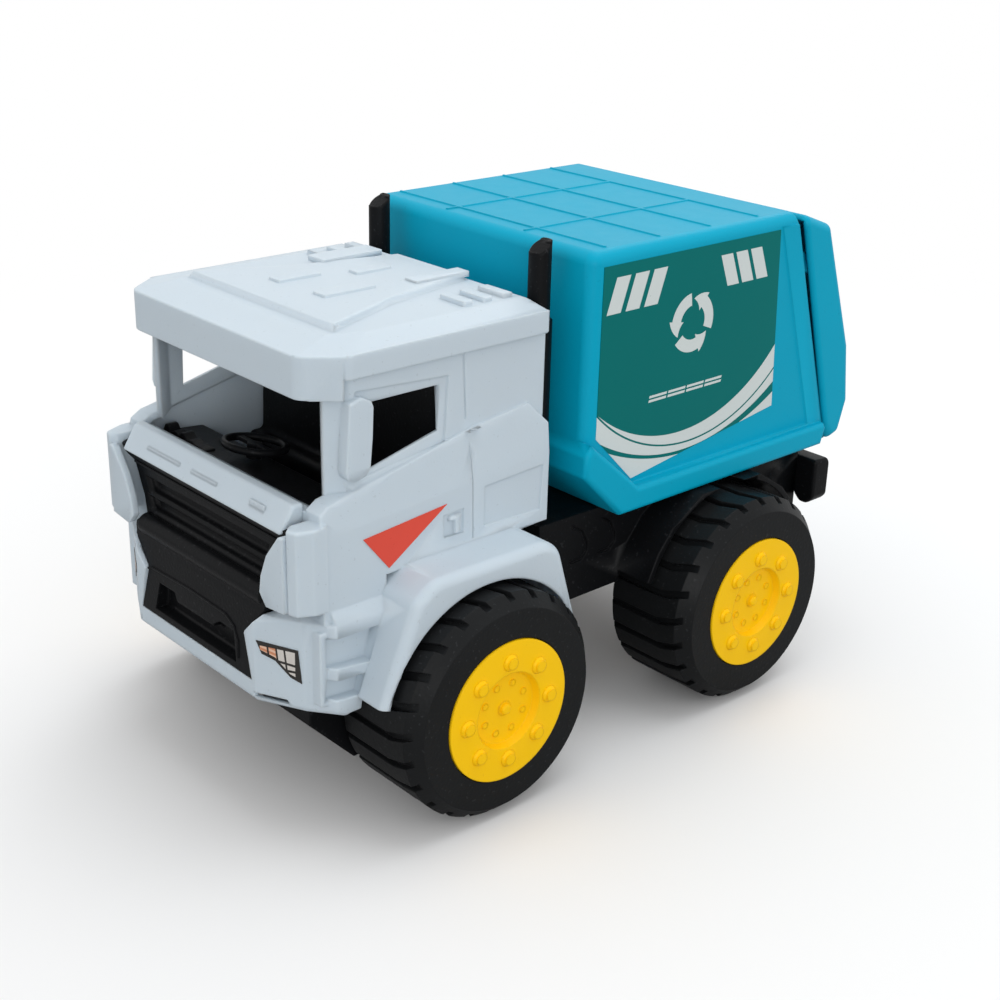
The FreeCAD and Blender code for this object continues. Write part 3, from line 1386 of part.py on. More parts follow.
# Refuse body: a hollow tipping hopper, open at the rear
def make_refuse_body():
    body = new_body("refuse_body")
    side_pad(body, "hopper", [
        (body_front + body_chamfer, body_floor),
        (body_rear_bottom, body_floor),
        (body_rear_top, body_top),
        (body_front, body_top),
        (body_front, body_floor + body_chamfer),
    ], body_half)
    round_edges(body, "hopper_rounding", body_round, is_hopper_corner)
    side_pad(body, "flange", [
        (body_front - flange_front, body_floor + body_chamfer - wall),
        (body_front + body_chamfer - wall - flange_front, body_floor),
        (flange_tip - wall, body_floor),
        (flange_tip, body_floor + flange_height - wall),
        (flange_tip - wall / 2, body_floor + flange_height),
        (body_front + body_chamfer + flange_front, body_floor + flange_height),
        (body_front, body_floor + body_chamfer + flange_height),
        (body_front - flange_front, body_floor + body_chamfer + flange_height - flange_front),
    ], flange_half)
    round_edges(body, "flange_rounding", flange_round, is_flange_rim)
    side_pad(body, "rear_frame", [
        (body_rear_top - rear_frame_width, body_top - body_round),
        (body_rear_top + wall / 2, body_top - body_round),
        (body_rear_bottom - 2 * wall, body_floor + flange_height),
        (body_rear_bottom - 2 * wall - rear_frame_width, body_floor + flange_height),
    ], body_half + rear_frame_height)
    ribs = new_sketch(body, "long_rib_sketch", "XY_Plane", body_top - wall / 2)
    for side in (1, -1):
        outline(ribs, [
            (side * top_rib_place - top_rib_width / 2, body_front + body_round),
            (side * top_rib_place + top_rib_width / 2, body_front + body_round),
            (side * top_rib_place + top_rib_width / 2, top_rib_rear),
            (side * top_rib_place - top_rib_width / 2, top_rib_rear),
        ])
    pad(body, "long_ribs", ribs, top_rib_height + wall / 2)
    ribs = new_sketch(body, "cross_rib_sketch", "XY_Plane", body_top - wall / 2)
    for number in range(top_rib_count):
        middle = top_rib_rear - number * top_rib_pitch
        outline(ribs, [
            (-(body_half - body_round), middle - top_rib_width / 2),
            (body_half - body_round, middle - top_rib_width / 2),
            (body_half - body_round, middle + top_rib_width / 2),
            (-(body_half - body_round), middle + top_rib_width / 2),
        ])
    pad(body, "cross_ribs", ribs, top_rib_height + wall / 2)
    side_pocket(body, "hopper_hollow", [
        (body_front + body_chamfer + wall / 2, body_floor + wall),
        (body_rear_bottom + past, body_floor + wall),
        (body_rear_top + past, body_top - wall),
        (body_front + wall, body_top - wall),
        (body_front + wall, body_floor + body_chamfer + wall / 2),
    ], body_half - wall)
    twin_side_pads(body, "tip_lug", [
        (pivot_y - lug_radius, body_floor),
        (pivot_y - lug_radius, pivot_z),
        (pivot_y - lug_radius / 2, pivot_z - lug_radius + seam_gap),
        (pivot_y + lug_radius / 2, pivot_z - lug_radius + seam_gap),
        (pivot_y + lug_radius, pivot_z),
        (pivot_y + lug_radius, body_floor),
    ], lug_place + lug_thickness + seam_gap, lug_thickness)
    sketch = new_sketch(body, "tip_bore_sketch", "YZ_Plane")
    circle(sketch, pivot_y, pivot_z, pivot_radius + running_fit)
    pocket(body, "tip_bore", sketch, 2 * body_half, symmetric=True)
    sketch = new_sketch(body, "hinge_recess_sketch", "YZ_Plane")
    circle(sketch, hinge_y, hinge_z, hinge_pip_radius + running_fit)
    pocket(body, "hinge_recess", sketch, 2 * (body_half - wall / 3), symmetric=True)
    return body


def is_hopper_corner(edge):
    box = edge.BoundBox
    along_top = near(box.ZMin, body_top) and near(box.ZMax, body_top) and not near(box.YMin, body_rear_top)
    front_post = near(box.YMax, body_front) and box.ZLength > 5 and box.XLength < 0.1
    return along_top or front_post


def is_flange_rim(edge):
    box = edge.BoundBox
    return near(abs(box.XMin), flange_half) and box.XLength < 0.01


def is_gate_bend(edge):
    box = edge.BoundBox
    return across(edge) and (near(box.YMin, gate_top_rear_y) or near(box.YMin, gate_tip_y) or near(box.YMin, gate_rear))


def is_gate_rim(edge):
    box = edge.BoundBox
    return near(abs(box.XMin), gate_half) and box.XLength < 0.01 and not is_gate_front(edge)


def is_gate_front(edge):
    box = edge.BoundBox
    return near(abs(box.XMin), gate_half) and box.XLength < 0.01 and box.ZLength > 60


def gate_front(z):
    """Y of the tailgate's front edge: a narrow V gap behind the hopper's sloping rear."""
    slant = (body_rear_bottom + gate_gap_bottom - body_rear_top - gate_gap_top) / (body_top - body_floor)
    return body_rear_top + gate_gap_top + (body_top - z) * slant


def make_tailgate():
    body = new_body("tailgate")
    side_pad(body, "gate", [
        (gate_front(gate_top_front), gate_top_front),
        (gate_top_rear_y, gate_top_rear_z),
        (gate_mid_y, gate_mid_z),
        (gate_rear, gate_rear_z),
        (gate_tip_y, gate_tip_z),
        (gate_bottom_y, gate_bottom_z),
        (gate_front(body_floor + wall), body_floor + wall),
    ], gate_half)
    round_edges(body, "gate_bends", gate_round, is_gate_bend)
    round_edges(body, "gate_rounding", gate_side_round, is_gate_rim)
    round_edges(body, "gate_rim_rounding", gate_rim_round, is_gate_front)
    side_pocket(body, "gate_hollow", [
        (gate_front(gate_top_front) - past, gate_top_front - wall),
        (gate_top_rear_y - wall, gate_top_rear_z - wall),
        (gate_mid_y - wall, gate_mid_z),
        (gate_rear - wall, gate_rear_z),
        (gate_tip_y - wall / 2, gate_tip_z + wall),
        (gate_front(body_floor + wall) - past, gate_bottom_z + 2 * wall),
    ], gate_half - wall)
    inner = body_half - wall - seam_gap - hinge_ear_thickness
    twin_side_pads(body, "hinge_ear", [
        (hinge_y - hinge_ear_radius, hinge_z - hinge_ear_radius / 2),
        (hinge_y - hinge_ear_radius, hinge_z + hinge_ear_radius / 2),
        (hinge_y - hinge_ear_radius / 2, hinge_z + hinge_ear_radius),
        (hinge_y + hinge_ear_radius / 2, hinge_z + hinge_ear_radius),
        (hinge_y + hinge_ear_radius, hinge_z + hinge_ear_radius / 2),
        (hinge_y + hinge_ear_radius, hinge_z - hinge_ear_radius + wall / 4),
        (hinge_y + ear_arm_knee, hinge_z - ear_arm_knee_drop),
        (hinge_y + ear_arm_reach, hinge_z - ear_arm_top_drop),
        (hinge_y + ear_arm_reach, hinge_z - ear_arm_bottom_drop),
        (hinge_y + ear_arm_knee, hinge_z - ear_arm_bottom_drop),
        (hinge_y, hinge_z - hinge_ear_radius),
    ], inner, hinge_ear_thickness)
    twin_side_pads(body, "ear_bridge", [
        (hinge_y + ear_arm_knee, hinge_z - ear_arm_top_drop),
        (hinge_y + ear_arm_reach, hinge_z - ear_arm_top_drop),
        (hinge_y + ear_arm_reach, hinge_z - ear_arm_bottom_drop),
        (hinge_y + ear_arm_knee, hinge_z - ear_arm_bottom_drop),
    ], inner + wall / 2, gate_half - wall / 2 - inner - wall / 2)
    for tag, start, reverse in (("left", inner, False), ("right", -inner, True)):
        sketch = new_sketch(body, "pip_%s_sketch" % tag, "YZ_Plane", start)
        circle(sketch, hinge_y, hinge_z, hinge_pip_radius)
        pad(body, "pip_%s" % tag, sketch, body_half - wall / 2 - inner, reverse=reverse)
    return body


# Labels: thin foils that lie on the mouldings
def make_side_label(label, side, surface, corners):
    body = new_body(label)
    sketch = new_sketch(body, label + "_sketch", "YZ_Plane", side * surface)
    outline(sketch, corners)
    pad(body, label + "_foil", sketch, label_thickness, reverse=side < 0)
    return body


def make_lamp(label, side):
    body = new_body(label)
    run = bumper_corner_half - bumper_flat_half
    sketch = new_sketch(body, label + "_sketch", "XZ_Plane")
    outline(sketch, [(side * (lamp_inset + lamp_width * u), lamp_bottom + lamp_height * v) for u, v in lamp_outline])
    pad(body, label + "_foil", sketch, label_thickness)
    body.Placement = FreeCAD.Placement(Vector(0, 0, 0), FreeCAD.Rotation(Vector(0, 0, 1), 0))
    bind(body, "Placement.Base.x", side * bumper_flat_half)
    bind(body, "Placement.Base.y", bumper_front)
    body.setExpression("Placement.Rotation.Angle", "%d * atan2(%s; %s)" % (side, bumper_corner_back.text, run.text))
    return body


nodes = [make_chassis(), make_rear_bumper(), make_pivot_pin(), make_cab_shell(), make_cab_roof(), make_grille(),
         make_interior(), make_steering_wheel()]
side_label = [
    (label_front, label_top),
    (label_rear_top, label_top),
    (label_rear_bottom, label_rear_foot),
    (label_low_y, label_low_z),
    (label_front, label_corner),
]
door_badge = [(badge_front, badge_top_front), (badge_rear, badge_top_rear), (badge_tip_y, badge_tip_z)]
for tag, side in (("left", 1), ("right", -1)):
    nodes.append(make_seat("seat_" + tag, side))
    nodes.append(make_stack("exhaust_stack_" + tag, side))
    nodes.append(make_lamp("headlamp_label_" + tag, side))
    nodes.append(make_side_label("door_label_" + tag, side, cab_half, door_badge))
    nodes.append(make_side_label("body_label_" + tag, side, body_half, side_label))
for axle, axle_y in (("front", front_axle), ("rear", rear_axle)):
    nodes.append(make_axle(axle + "_axle_rod", axle_y))
    for tag in ("left", "right"):
        nodes.append(make_hub("hub_%s_%s" % (axle, tag), tag, axle_y))
        nodes.append(make_tyre("tyre_%s_%s" % (axle, tag), tag, axle_y))
nodes.append(make_refuse_body())
nodes.append(make_tailgate())

doc.recompute()
for item in doc.Objects:
    if "Invalid" in item.State or "Error" in item.State:
        raise RuntimeError("%s did not build: %s" % (item.Label, item.State))
for node in nodes:
    if node.Shape.isNull() or not node.Shape.isValid():
        raise RuntimeError("%s has a bad shape" % node.Label)
    node.Shape.exportStep("parts/%s.step" % node.Label)
    print(node.Label, len(node.Shape.Solids), round(node.Shape.Volume), node.Shape.BoundBox)
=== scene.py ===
import bpy
import bmesh
import json
from math import cos, pi, radians, sin
from mathutils import Euler, Matrix, Vector
from mathutils.bvhtree import BVHTree
from mathutils.kdtree import KDTree


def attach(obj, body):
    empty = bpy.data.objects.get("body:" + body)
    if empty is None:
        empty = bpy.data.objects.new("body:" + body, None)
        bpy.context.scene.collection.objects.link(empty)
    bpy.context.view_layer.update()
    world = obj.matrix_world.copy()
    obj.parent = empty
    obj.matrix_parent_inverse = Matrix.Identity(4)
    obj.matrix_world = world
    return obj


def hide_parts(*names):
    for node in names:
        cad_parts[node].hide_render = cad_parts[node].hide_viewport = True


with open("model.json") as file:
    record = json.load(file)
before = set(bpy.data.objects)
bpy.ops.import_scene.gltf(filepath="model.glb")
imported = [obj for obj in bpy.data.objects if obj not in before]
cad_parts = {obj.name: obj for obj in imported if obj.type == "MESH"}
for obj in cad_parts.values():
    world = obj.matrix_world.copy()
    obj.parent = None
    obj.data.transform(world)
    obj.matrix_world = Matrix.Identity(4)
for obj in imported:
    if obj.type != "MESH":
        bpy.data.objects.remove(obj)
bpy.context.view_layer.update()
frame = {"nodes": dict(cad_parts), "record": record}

mm = 0.001
mmPerMetre = 1000
nodes = frame["nodes"]
slotOf = {entry["node"]: entry["material_slot"] for entry in frame["record"]["subparts"]}
bodyOf = {}
for bodyName, members in frame["record"]["behaviour"]["bodies"].items():
    for member in members:
        bodyOf[member] = bodyName


# Shader maths: a Wire wraps one socket, so that masks can be written as plain expressions
class Wire:
    def __init__(self, tree, socket):
        self.tree = tree
        self.socket = socket

    def made(self, kind, settings=None, inputs=None, output=0):
        node = self.tree.nodes.new(kind)
        for name, value in (settings or {}).items():
            setattr(node, name, value)
        for name, value in (inputs or {}).items():
            if isinstance(value, Wire):
                self.tree.links.new(value.socket, node.inputs[name])
            else:
                node.inputs[name].default_value = value
        return Wire(self.tree, node.outputs[output])

    def maths(self, operation, *values):
        return self.made("ShaderNodeMath", {"operation": operation}, dict(enumerate(values)))

    def __add__(self, other):
        return self.maths("ADD", self, other)

    def __radd__(self, other):
        return self.maths("ADD", other, self)

    def __sub__(self, other):
        return self.maths("SUBTRACT", self, other)

    def __rsub__(self, other):
        return self.maths("SUBTRACT", other, self)

    def __mul__(self, other):
        return self.maths("MULTIPLY", self, other)

    def __truediv__(self, other):
        return self.maths("DIVIDE", self, other)

    def __gt__(self, other):
        return self.maths("GREATER_THAN", self, other)

    def __lt__(self, other):
        return self.maths("LESS_THAN", self, other)

    def __or__(self, other):
        return self.maths("MAXIMUM", self, other)


def absolute(wire):
    return wire.maths("ABSOLUTE", wire)


def fraction(wire):
    return wire.maths("FRACT", wire)


def root(wire):
    return wire.maths("SQRT", wire)


def startFinish(name):
    material = bpy.data.materials.new(name)
    material.use_nodes = True
    tree = material.node_tree
    shader = tree.nodes["Principled BSDF"]
    place = tree.nodes.new("ShaderNodeTexCoord")
    return material, shader, Wire(tree, place.outputs["Object"])


def feed(shader, socket, wire):
    wire.tree.links.new(wire.socket, shader.inputs[socket])


def noise(place, scale, detail=2.0, roughness=0.5):
    sizes = {"Vector": place, "Scale": scale, "Detail": detail, "Roughness": roughness}
    return place.made("ShaderNodeTexNoise", {}, sizes)


def stretched(place, sizes):
    return place.made("ShaderNodeVectorMath", {"operation": "MULTIPLY"}, {0: place, 1: sizes})


def mixColor(wire, factor, first, second):
    return wire.made("ShaderNodeMix", {"data_type": "RGBA"}, {0: factor, 6: first, 7: second}, output=2)


# A bump of a depth in millimetres, laid over an earlier normal where there is one
def bumped(height, strength, depth, under=None):
    inputs = {"Strength": strength, "Distance": depth * mm, "Height": height}
    if under:
        inputs["Normal"] = under
    return height.made("ShaderNodeBump", {}, inputs)


def opaque(color):
    return tuple(color) + (1,)


# What all moulded finishes share; depths and edgeRound are in millimetres
commonLook = {
    "cloudScale": 22, "cloudDetail": 3.0, "pitScale": 1400, "pitDetail": 2.0, "pitStrength": 0.12,
    "pitDepth": 0.2, "sinkScale": 45, "sinkDetail": 1.0, "sinkDepth": 0.12, "scuffWay": (1, 1, 4),
    "scuffScale": 160, "scuffDetail": 3.0, "scuffBreak": 0.6, "scuffChange": 0.1,
    "speckScale": 900, "speckDetail": 1.0, "speckFrom": 0.74, "speckShare": 0.35,
    "roughness": 0.42, "roughnessChange": 0.12, "edgeRound": 0.6, "bevelSamples": 6,
    "shine": 0.22, "ior": 1.46, "metal": 0.0, "glow": 0.0, "glowDepth": 1.0,
    "glowWay": (1.0, 0.92, 0.85),
}


def plasticLook(**changes):
    return {**commonLook, **changes}


# Moulded plastic: cloudy colour, dust specks, flow scuffs in the gloss, mould pits and slightly sunk walls
def mouldedPlastic(name, look):
    material, shader, place = startFinish(name)
    cloud = noise(place, look["cloudScale"], look["cloudDetail"])
    pits = noise(place, look["pitScale"], look["pitDetail"])
    sink = noise(place, look["sinkScale"], look["sinkDetail"])
    flow = stretched(place, look["scuffWay"])
    scuffs = noise(flow, look["scuffScale"], look["scuffDetail"], look["scuffBreak"])
    specks = noise(place, look["speckScale"], look["speckDetail"]) > look["speckFrom"]
    color = mixColor(place, cloud, opaque(look["color"]), opaque(look["cloudColor"]))
    color = mixColor(place, specks * look["speckShare"], color, opaque(look["speckColor"]))
    feed(shader, "Base Color", color)
    gloss = look["roughness"] + (cloud - 0.5) * look["roughnessChange"]
    feed(shader, "Roughness", gloss + (scuffs - 0.5) * look["scuffChange"])
    samples = {"samples": look["bevelSamples"]}
    edges = place.made("ShaderNodeBevel", samples, {"Radius": look["edgeRound"] * mm})
    broad = bumped(sink, 1.0, look["sinkDepth"], edges)
    feed(shader, "Normal", bumped(pits, look["pitStrength"], look["pitDepth"], broad))
    shader.inputs["IOR"].default_value = look["ior"]
    shader.inputs["Specular IOR Level"].default_value = look["shine"]
    shader.inputs["Metallic"].default_value = look["metal"]
    shader.inputs["Subsurface Weight"].default_value = look["glow"]
    shader.inputs["Subsurface Radius"].default_value = look["glowWay"]
    shader.inputs["Subsurface Scale"].default_value = look["glowDepth"] * mm
    return material


plasticLooks = {
    "white_plastic": plasticLook(
        color=(0.53, 0.61, 0.675), cloudColor=(0.56, 0.64, 0.70), speckColor=(0.4, 0.46, 0.5),
        edgeRound=0.8, glow=0.4, glowDepth=3.0),
    "teal_plastic": plasticLook(
        color=(0.0, 0.345, 0.525), cloudColor=(0.0, 0.375, 0.56), speckColor=(0.0, 0.27, 0.42),
        edgeRound=0.8, shine=0.13),
    "black_plastic": plasticLook(
        color=(0.0045, 0.0048, 0.0055), cloudColor=(0.0075, 0.008, 0.009), speckColor=(0.03, 0.031, 0.034),
        cloudScale=30, pitScale=1100, speckFrom=0.7, speckShare=0.5, roughness=0.34, pitStrength=0.25,
        edgeRound=0.5, shine=0.1),
    "yellow_plastic": plasticLook(
        color=(0.98, 0.575, 0.002), cloudColor=(1.0, 0.60, 0.003), speckColor=(0.85, 0.46, 0.004),
        roughness=0.36, edgeRound=0.7, shine=0.16),
    "tyre_rubber": plasticLook(
        color=(0.0065, 0.007, 0.0075), cloudColor=(0.012, 0.013, 0.014), speckColor=(0.04, 0.042, 0.045),
        cloudScale=40, pitScale=900, speckFrom=0.7, roughness=0.4, roughnessChange=0.2, pitStrength=0.3,
        shine=0.14, edgeRound=0.5),
    "red_foil": plasticLook(
        color=(0.66, 0.075, 0.05), cloudColor=(0.78, 0.08, 0.05), speckColor=(0.6, 0.06, 0.04),
        cloudScale=60, roughness=0.34, sinkDepth=0.05, edgeRound=0.05),
    "axle_steel": plasticLook(
        color=(0.5, 0.5, 0.5), cloudColor=(0.56, 0.56, 0.56), speckColor=(0.3, 0.29, 0.28),
        cloudScale=90, scuffWay=(1, 6, 6), roughness=0.3, sinkDepth=0.0, edgeRound=0.1, metal=1.0, shine=0.5),
}
finishes = {}
for slotName, look in plasticLooks.items():
    finishes[slotName] = mouldedPlastic(slotName.replace("_", " ").title().replace(" ", ""), look)


# One coordinate of the surface, in millimetres
def axisOf(place, number):
    return place.made("ShaderNodeSeparateXYZ", {}, {"Vector": place}, output=number) * mmPerMetre


def fromCentre(y, z, centre):
    acrossY = y - centre[0]
    acrossZ = z - centre[1]
    return root(acrossY * acrossY + acrossZ * acrossZ)


def slantedBars(y, z, look):
    along = (y - look["start"] - (z - look["low"]) * look["slant"]) / look["pitch"]
    part = fraction(along) < look["share"]
    return part * (along > 0) * (along < look["count"]) * (z > look["low"]) * (z < look["high"])


# A ring of arrows that follow each other: each has a shaft of one width and a head that narrows to its tip
def chasingRing(y, z, look):
    away = fromCentre(y, z, look["centre"])
    angle = y.maths("ARCTAN2", z - look["centre"][1], y - look["centre"][0])
    turn = angle / (2 * pi) + look["turn"]
    step = fraction(turn * look["count"] + look["wholeTurns"])
    headSlope = look["headHalf"] / (look["headEnd"] - look["shaftEnd"])
    shaft = (step < look["shaftEnd"]) * look["halfWidth"]
    head = (step > look["shaftEnd"]) * (look["headEnd"] - step) * headSlope
    return absolute(away - look["radius"]) < (shaft | head)


# Printed foil on the refuse body: green field, slanted bars, a ring of arrows, dashes and curved bands at the
# foot; places and sizes are millimetres along the truck and above the ground
bodyPrintLook = {
    "field": (0.0, 0.148, 0.143), "fieldCloud": (0.0, 0.158, 0.150), "pale": (0.63, 0.685, 0.68),
    "frontBars": {"start": -5.9, "low": 128.9, "high": 139.2, "slant": 0.34,
                  "pitch": 7.5, "share": 0.74, "count": 2.8},
    "rearBars": {"start": 44.9, "low": 129.2, "high": 138.9, "slant": -0.4,
                 "pitch": 6.65, "share": 0.77, "count": 2.8},
    "upperDash": {"start": 13.6, "low": 100.75, "high": 101.5, "slant": 0.3,
                  "pitch": 8.1, "share": 0.92, "count": 3.94},
    "lowerDash": {"start": 13.4, "low": 99.5, "high": 100.25, "slant": 0.3,
                  "pitch": 8.1, "share": 0.92, "count": 3.94},
    "ring": {"centre": (30.4, 120.7), "radius": 7.1, "halfWidth": 1.9, "headHalf": 3.1,
             "shaftEnd": 0.6, "headEnd": 0.93, "count": 3, "turn": 0.06, "wholeTurns": 4},
    "fieldArc": ((28.0, 142.9), 55.5), "thinArc": ((32.0, 139.3), 55.8, 0.28),
    "wideArcInner": ((30.0, 151.3), 70.0), "wideArcOuter": ((31.0, 159.5), 79.3),
    "cloudScale": 35, "cloudDetail": 3.0, "wearScale": 420, "wearDetail": 4.0, "wearBreak": 0.7,
    "wearFrom": 0.72, "wearShare": 0.25, "sinkScale": 60, "sinkDetail": 1.0, "sinkDepth": 0.06,
    "printStrength": 0.4, "printDepth": 0.02, "roughness": 0.3, "roughnessChange": 0.12, "shine": 0.09,
}


def bodyPrint(name, look):
    material, shader, place = startFinish(name)
    y = axisOf(place, 1)
    z = axisOf(place, 2)
    cloud = noise(place, look["cloudScale"], look["cloudDetail"])
    wear = noise(place, look["wearScale"], look["wearDetail"], look["wearBreak"])
    marks = chasingRing(y, z, look["ring"])
    for bars in ("frontBars", "rearBars", "upperDash", "lowerDash"):
        marks = marks | slantedBars(y, z, look[bars])
    centre, radius = look["fieldArc"]
    foot = fromCentre(y, z, centre) > radius
    centre, radius, half = look["thinArc"]
    thin = absolute(fromCentre(y, z, centre) - radius) < half
    centre, radius = look["wideArcInner"]
    outerCentre, outerRadius = look["wideArcOuter"]
    wide = (fromCentre(y, z, centre) > radius) * (fromCentre(y, z, outerCentre) < outerRadius)
    worn = (wear > look["wearFrom"]) * look["wearShare"]
    pale = (marks | foot * (1 - (thin | wide))) * (1 - worn)
    field = mixColor(place, cloud, opaque(look["field"]), opaque(look["fieldCloud"]))
    feed(shader, "Base Color", mixColor(place, pale, field, opaque(look["pale"])))
    feed(shader, "Roughness", look["roughness"] + (cloud - 0.5) * look["roughnessChange"])
    broad = bumped(noise(place, look["sinkScale"], look["sinkDetail"]), 1.0, look["sinkDepth"])
    feed(shader, "Normal", bumped(pale, look["printStrength"], look["printDepth"], broad))
    shader.inputs["Specular IOR Level"].default_value = look["shine"]
    return material


# Printed foil at the headlamps: dark frame, warm cells and pale cells parted by thin lines. Start and size
# are millimetres; the rest is in parts of the foil's width and height
lampPrintLook = {
    "xStart": 30.13, "xSize": 11.85, "zStart": 46.4, "zSize": 10.0,
    "frame": (0.02, 0.017, 0.015), "warm": (0.62, 0.25, 0.13), "warmLight": (0.78, 0.5, 0.36),
    "pale": (0.66, 0.62, 0.58), "left": 0.09, "right": 0.86, "top": 0.87, "inset": 0.1,
    "foot": ((0.12, 0.64, -0.4), (0.42, 0.52, -1.21), (0.75, 0.12, -0.48)), "lean": 0.08,
    "uprights": (0.33, 0.52, 0.70), "line": 0.035, "uprightShare": 0.6, "middle": 0.58, "middleFall": 0.12,
    "warmEnd": 0.52, "lower": 0.3, "lowerFrom": 0.70, "stripes": (7, 2), "cloudScale": 300,
    "cloudDetail": 2.0, "cloudShare": 0.15, "printStrength": 0.4, "printDepth": 0.02,
    "roughness": 0.28, "roughnessChange": 0.1,
}


def lampPrint(name, look):
    material, shader, place = startFinish(name)
    u = (absolute(axisOf(place, 0)) - look["xStart"]) / look["xSize"]
    v = (axisOf(place, 2) - look["zStart"]) / look["zSize"]
    runs = [(u - start) * slope + height for start, height, slope in look["foot"]]
    foot = u.maths("MINIMUM", runs[0], runs[1] | runs[2])
    sides = (u > look["left"]) * (u < look["right"])
    inside = sides * (v < look["top"]) * (v - foot > look["inset"])
    lean = u + v * look["lean"]
    lines = 0
    for spot in look["uprights"]:
        lines = (absolute(lean - spot) < look["line"] * look["uprightShare"]) | lines
    middle = absolute(v - look["middle"] + u * look["middleFall"]) < look["line"]
    lower = absolute(v - look["lower"]) < look["line"]
    lines = lines | middle * (lean > look["warmEnd"]) | lower * (lean > look["lowerFrom"])
    printed = inside * (1 - lines)
    stripes = fraction(v * look["stripes"][0] + u * look["stripes"][1]) < 0.5
    warm = mixColor(place, stripes, opaque(look["warm"]), opaque(look["warmLight"]))
    cells = mixColor(place, lean > look["warmEnd"], warm, opaque(look["pale"]))
    cloud = noise(place, look["cloudScale"], look["cloudDetail"])
    shaded = mixColor(place, printed, opaque(look["frame"]), cells)
    feed(shader, "Base Color", mixColor(place, cloud * look["cloudShare"], shaded, opaque(look["frame"])))
    feed(shader, "Roughness", look["roughness"] + (cloud - 0.5) * look["roughnessChange"])
    feed(shader, "Normal", bumped(printed, look["printStrength"], look["printDepth"]))
    return material


finishes["green_foil"] = bodyPrint("greenFoil", bodyPrintLook)
finishes["lamp_foil"] = lampPrint("lampFoil", lampPrintLook)
for name, node in nodes.items():
    node.data.materials.clear()
    node.data.materials.append(finishes[slotOf[name]])
print("finishes done")


# Modelling helpers: one piece at a time is selected and edited, and it ends with its place in its mesh
eveningWeight = 80


def onlyThis(piece):
    bpy.ops.object.select_all(action="DESELECT")
    bpy.context.view_layer.objects.active = piece
    piece.select_set(True)


def settle(piece, body, slotName, smoothBelow=38):
    onlyThis(piece)
    bpy.ops.object.transform_apply(location=True, rotation=True, scale=True)
    bpy.ops.object.shade_smooth_by_angle(angle=radians(smoothBelow))
    evening = piece.modifiers.new("evening", "WEIGHTED_NORMAL")
    evening.keep_sharp = True
    evening.weight = eveningWeight
    bpy.ops.object.modifier_apply(modifier="evening")
    piece.data.materials.clear()
    piece.data.materials.append(finishes[slotName])
    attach(piece, body)


def bevelEdges(piece, width, steps=2, sharpFrom=30):
    bevel = piece.modifiers.new("rounding", "BEVEL")
    bevel.limit_method = "ANGLE"
    bevel.angle_limit = radians(sharpFrom)
    bevel.width = width * mm
    bevel.segments = steps
    onlyThis(piece)
    bpy.ops.object.modifier_apply(modifier="rounding")


# Moulded copies of CAD nodes. round is the widest rounding in millimetres, flat the angle in degrees up to
# which faces are joined first, sharedPart and freePart the part of a neighbour's room that a rounding may
# take, and gapPart, turnedBelow and areaFrom say when a rounded face counts as astray
commonRounding = {
    "sharpFrom": 35, "steps": 3, "flat": 0, "mergeGap": 0.004, "attempts": 12, "mostRoom": 1.0,
    "besideFrom": 0.35, "sharedPart": 0.45, "freePart": 0.9, "leastPart": 0.15,
    "gapPart": 0.65, "turnedBelow": -0.1, "areaFrom": 0.002,
}


def rounding(**changes):
    return {**commonRounding, **changes}


# The room that a sharp edge has for its rounding, from the edges that meet it
def roomFor(edge, chosen, look):
    room = look["mostRoom"]
    for corner in edge.verts:
        along = (edge.other_vert(corner).co - corner.co).normalized()
        for other in corner.link_edges:
            way = other.other_vert(corner).co - corner.co
            if other is edge or way.length == 0:
                continue
            across = along.cross(way.normalized()).length
            if across < look["besideFrom"]:
                continue
            far = other.other_vert(corner)
            shared = other in chosen or any(each in chosen for each in far.link_edges)
            part = look["sharedPart"] if shared else look["freePart"]
            room = min(room, way.length * across * part)
    return room


# The plain mesh's corners nearest to faces that left its surface or turned over
def astrayCorners(mesh, surface, corners, look):
    astray = set()
    work = bmesh.new()
    work.from_mesh(mesh)
    bmesh.ops.triangulate(work, faces=work.faces[:])
    for face in work.faces:
        spot, normal, number, gap = surface.find_nearest(face.calc_center_median())
        large = face.calc_area() > look["areaFrom"] * mm * mm
        turned = normal.dot(face.normal) < look["turnedBelow"] and large
        if gap > look["gapPart"] * look["round"] * mm or turned:
            for corner in face.verts:
                astray.add(corners.find(corner.co)[1])
    work.free()
    return astray


# Rounds the sharp edges of a mesh copy, apart from those at the corners that stay sharp
def rounded(plain, look, sharpCorners):
    width = look["round"] * mm
    work = bmesh.new()
    work.from_mesh(plain)
    share = work.edges.layers.float.new("bevel_weight_edge")
    chosen = set()
    for edge in work.edges:
        if len(edge.link_faces) == 2 and edge.calc_face_angle(0) > radians(look["sharpFrom"]):
            if not sharpCorners & {corner.index for corner in edge.verts}:
                chosen.add(edge)
    for edge in chosen:
        part = min(1.0, roomFor(edge, chosen, look) / width)
        edge[share] = part if part > look["leastPart"] else 0
    mesh = plain.copy()
    work.to_mesh(mesh)
    work.free()
    piece = bpy.data.objects.new("rounding", mesh)
    bpy.context.collection.objects.link(piece)
    onlyThis(piece)
    bevel = piece.modifiers.new("rounding", "BEVEL")
    bevel.limit_method = "WEIGHT"
    bevel.width = width
    bevel.segments = look["steps"]
    bevel.use_clamp_overlap = False
    bpy.ops.object.modifier_apply(modifier="rounding")
    return piece


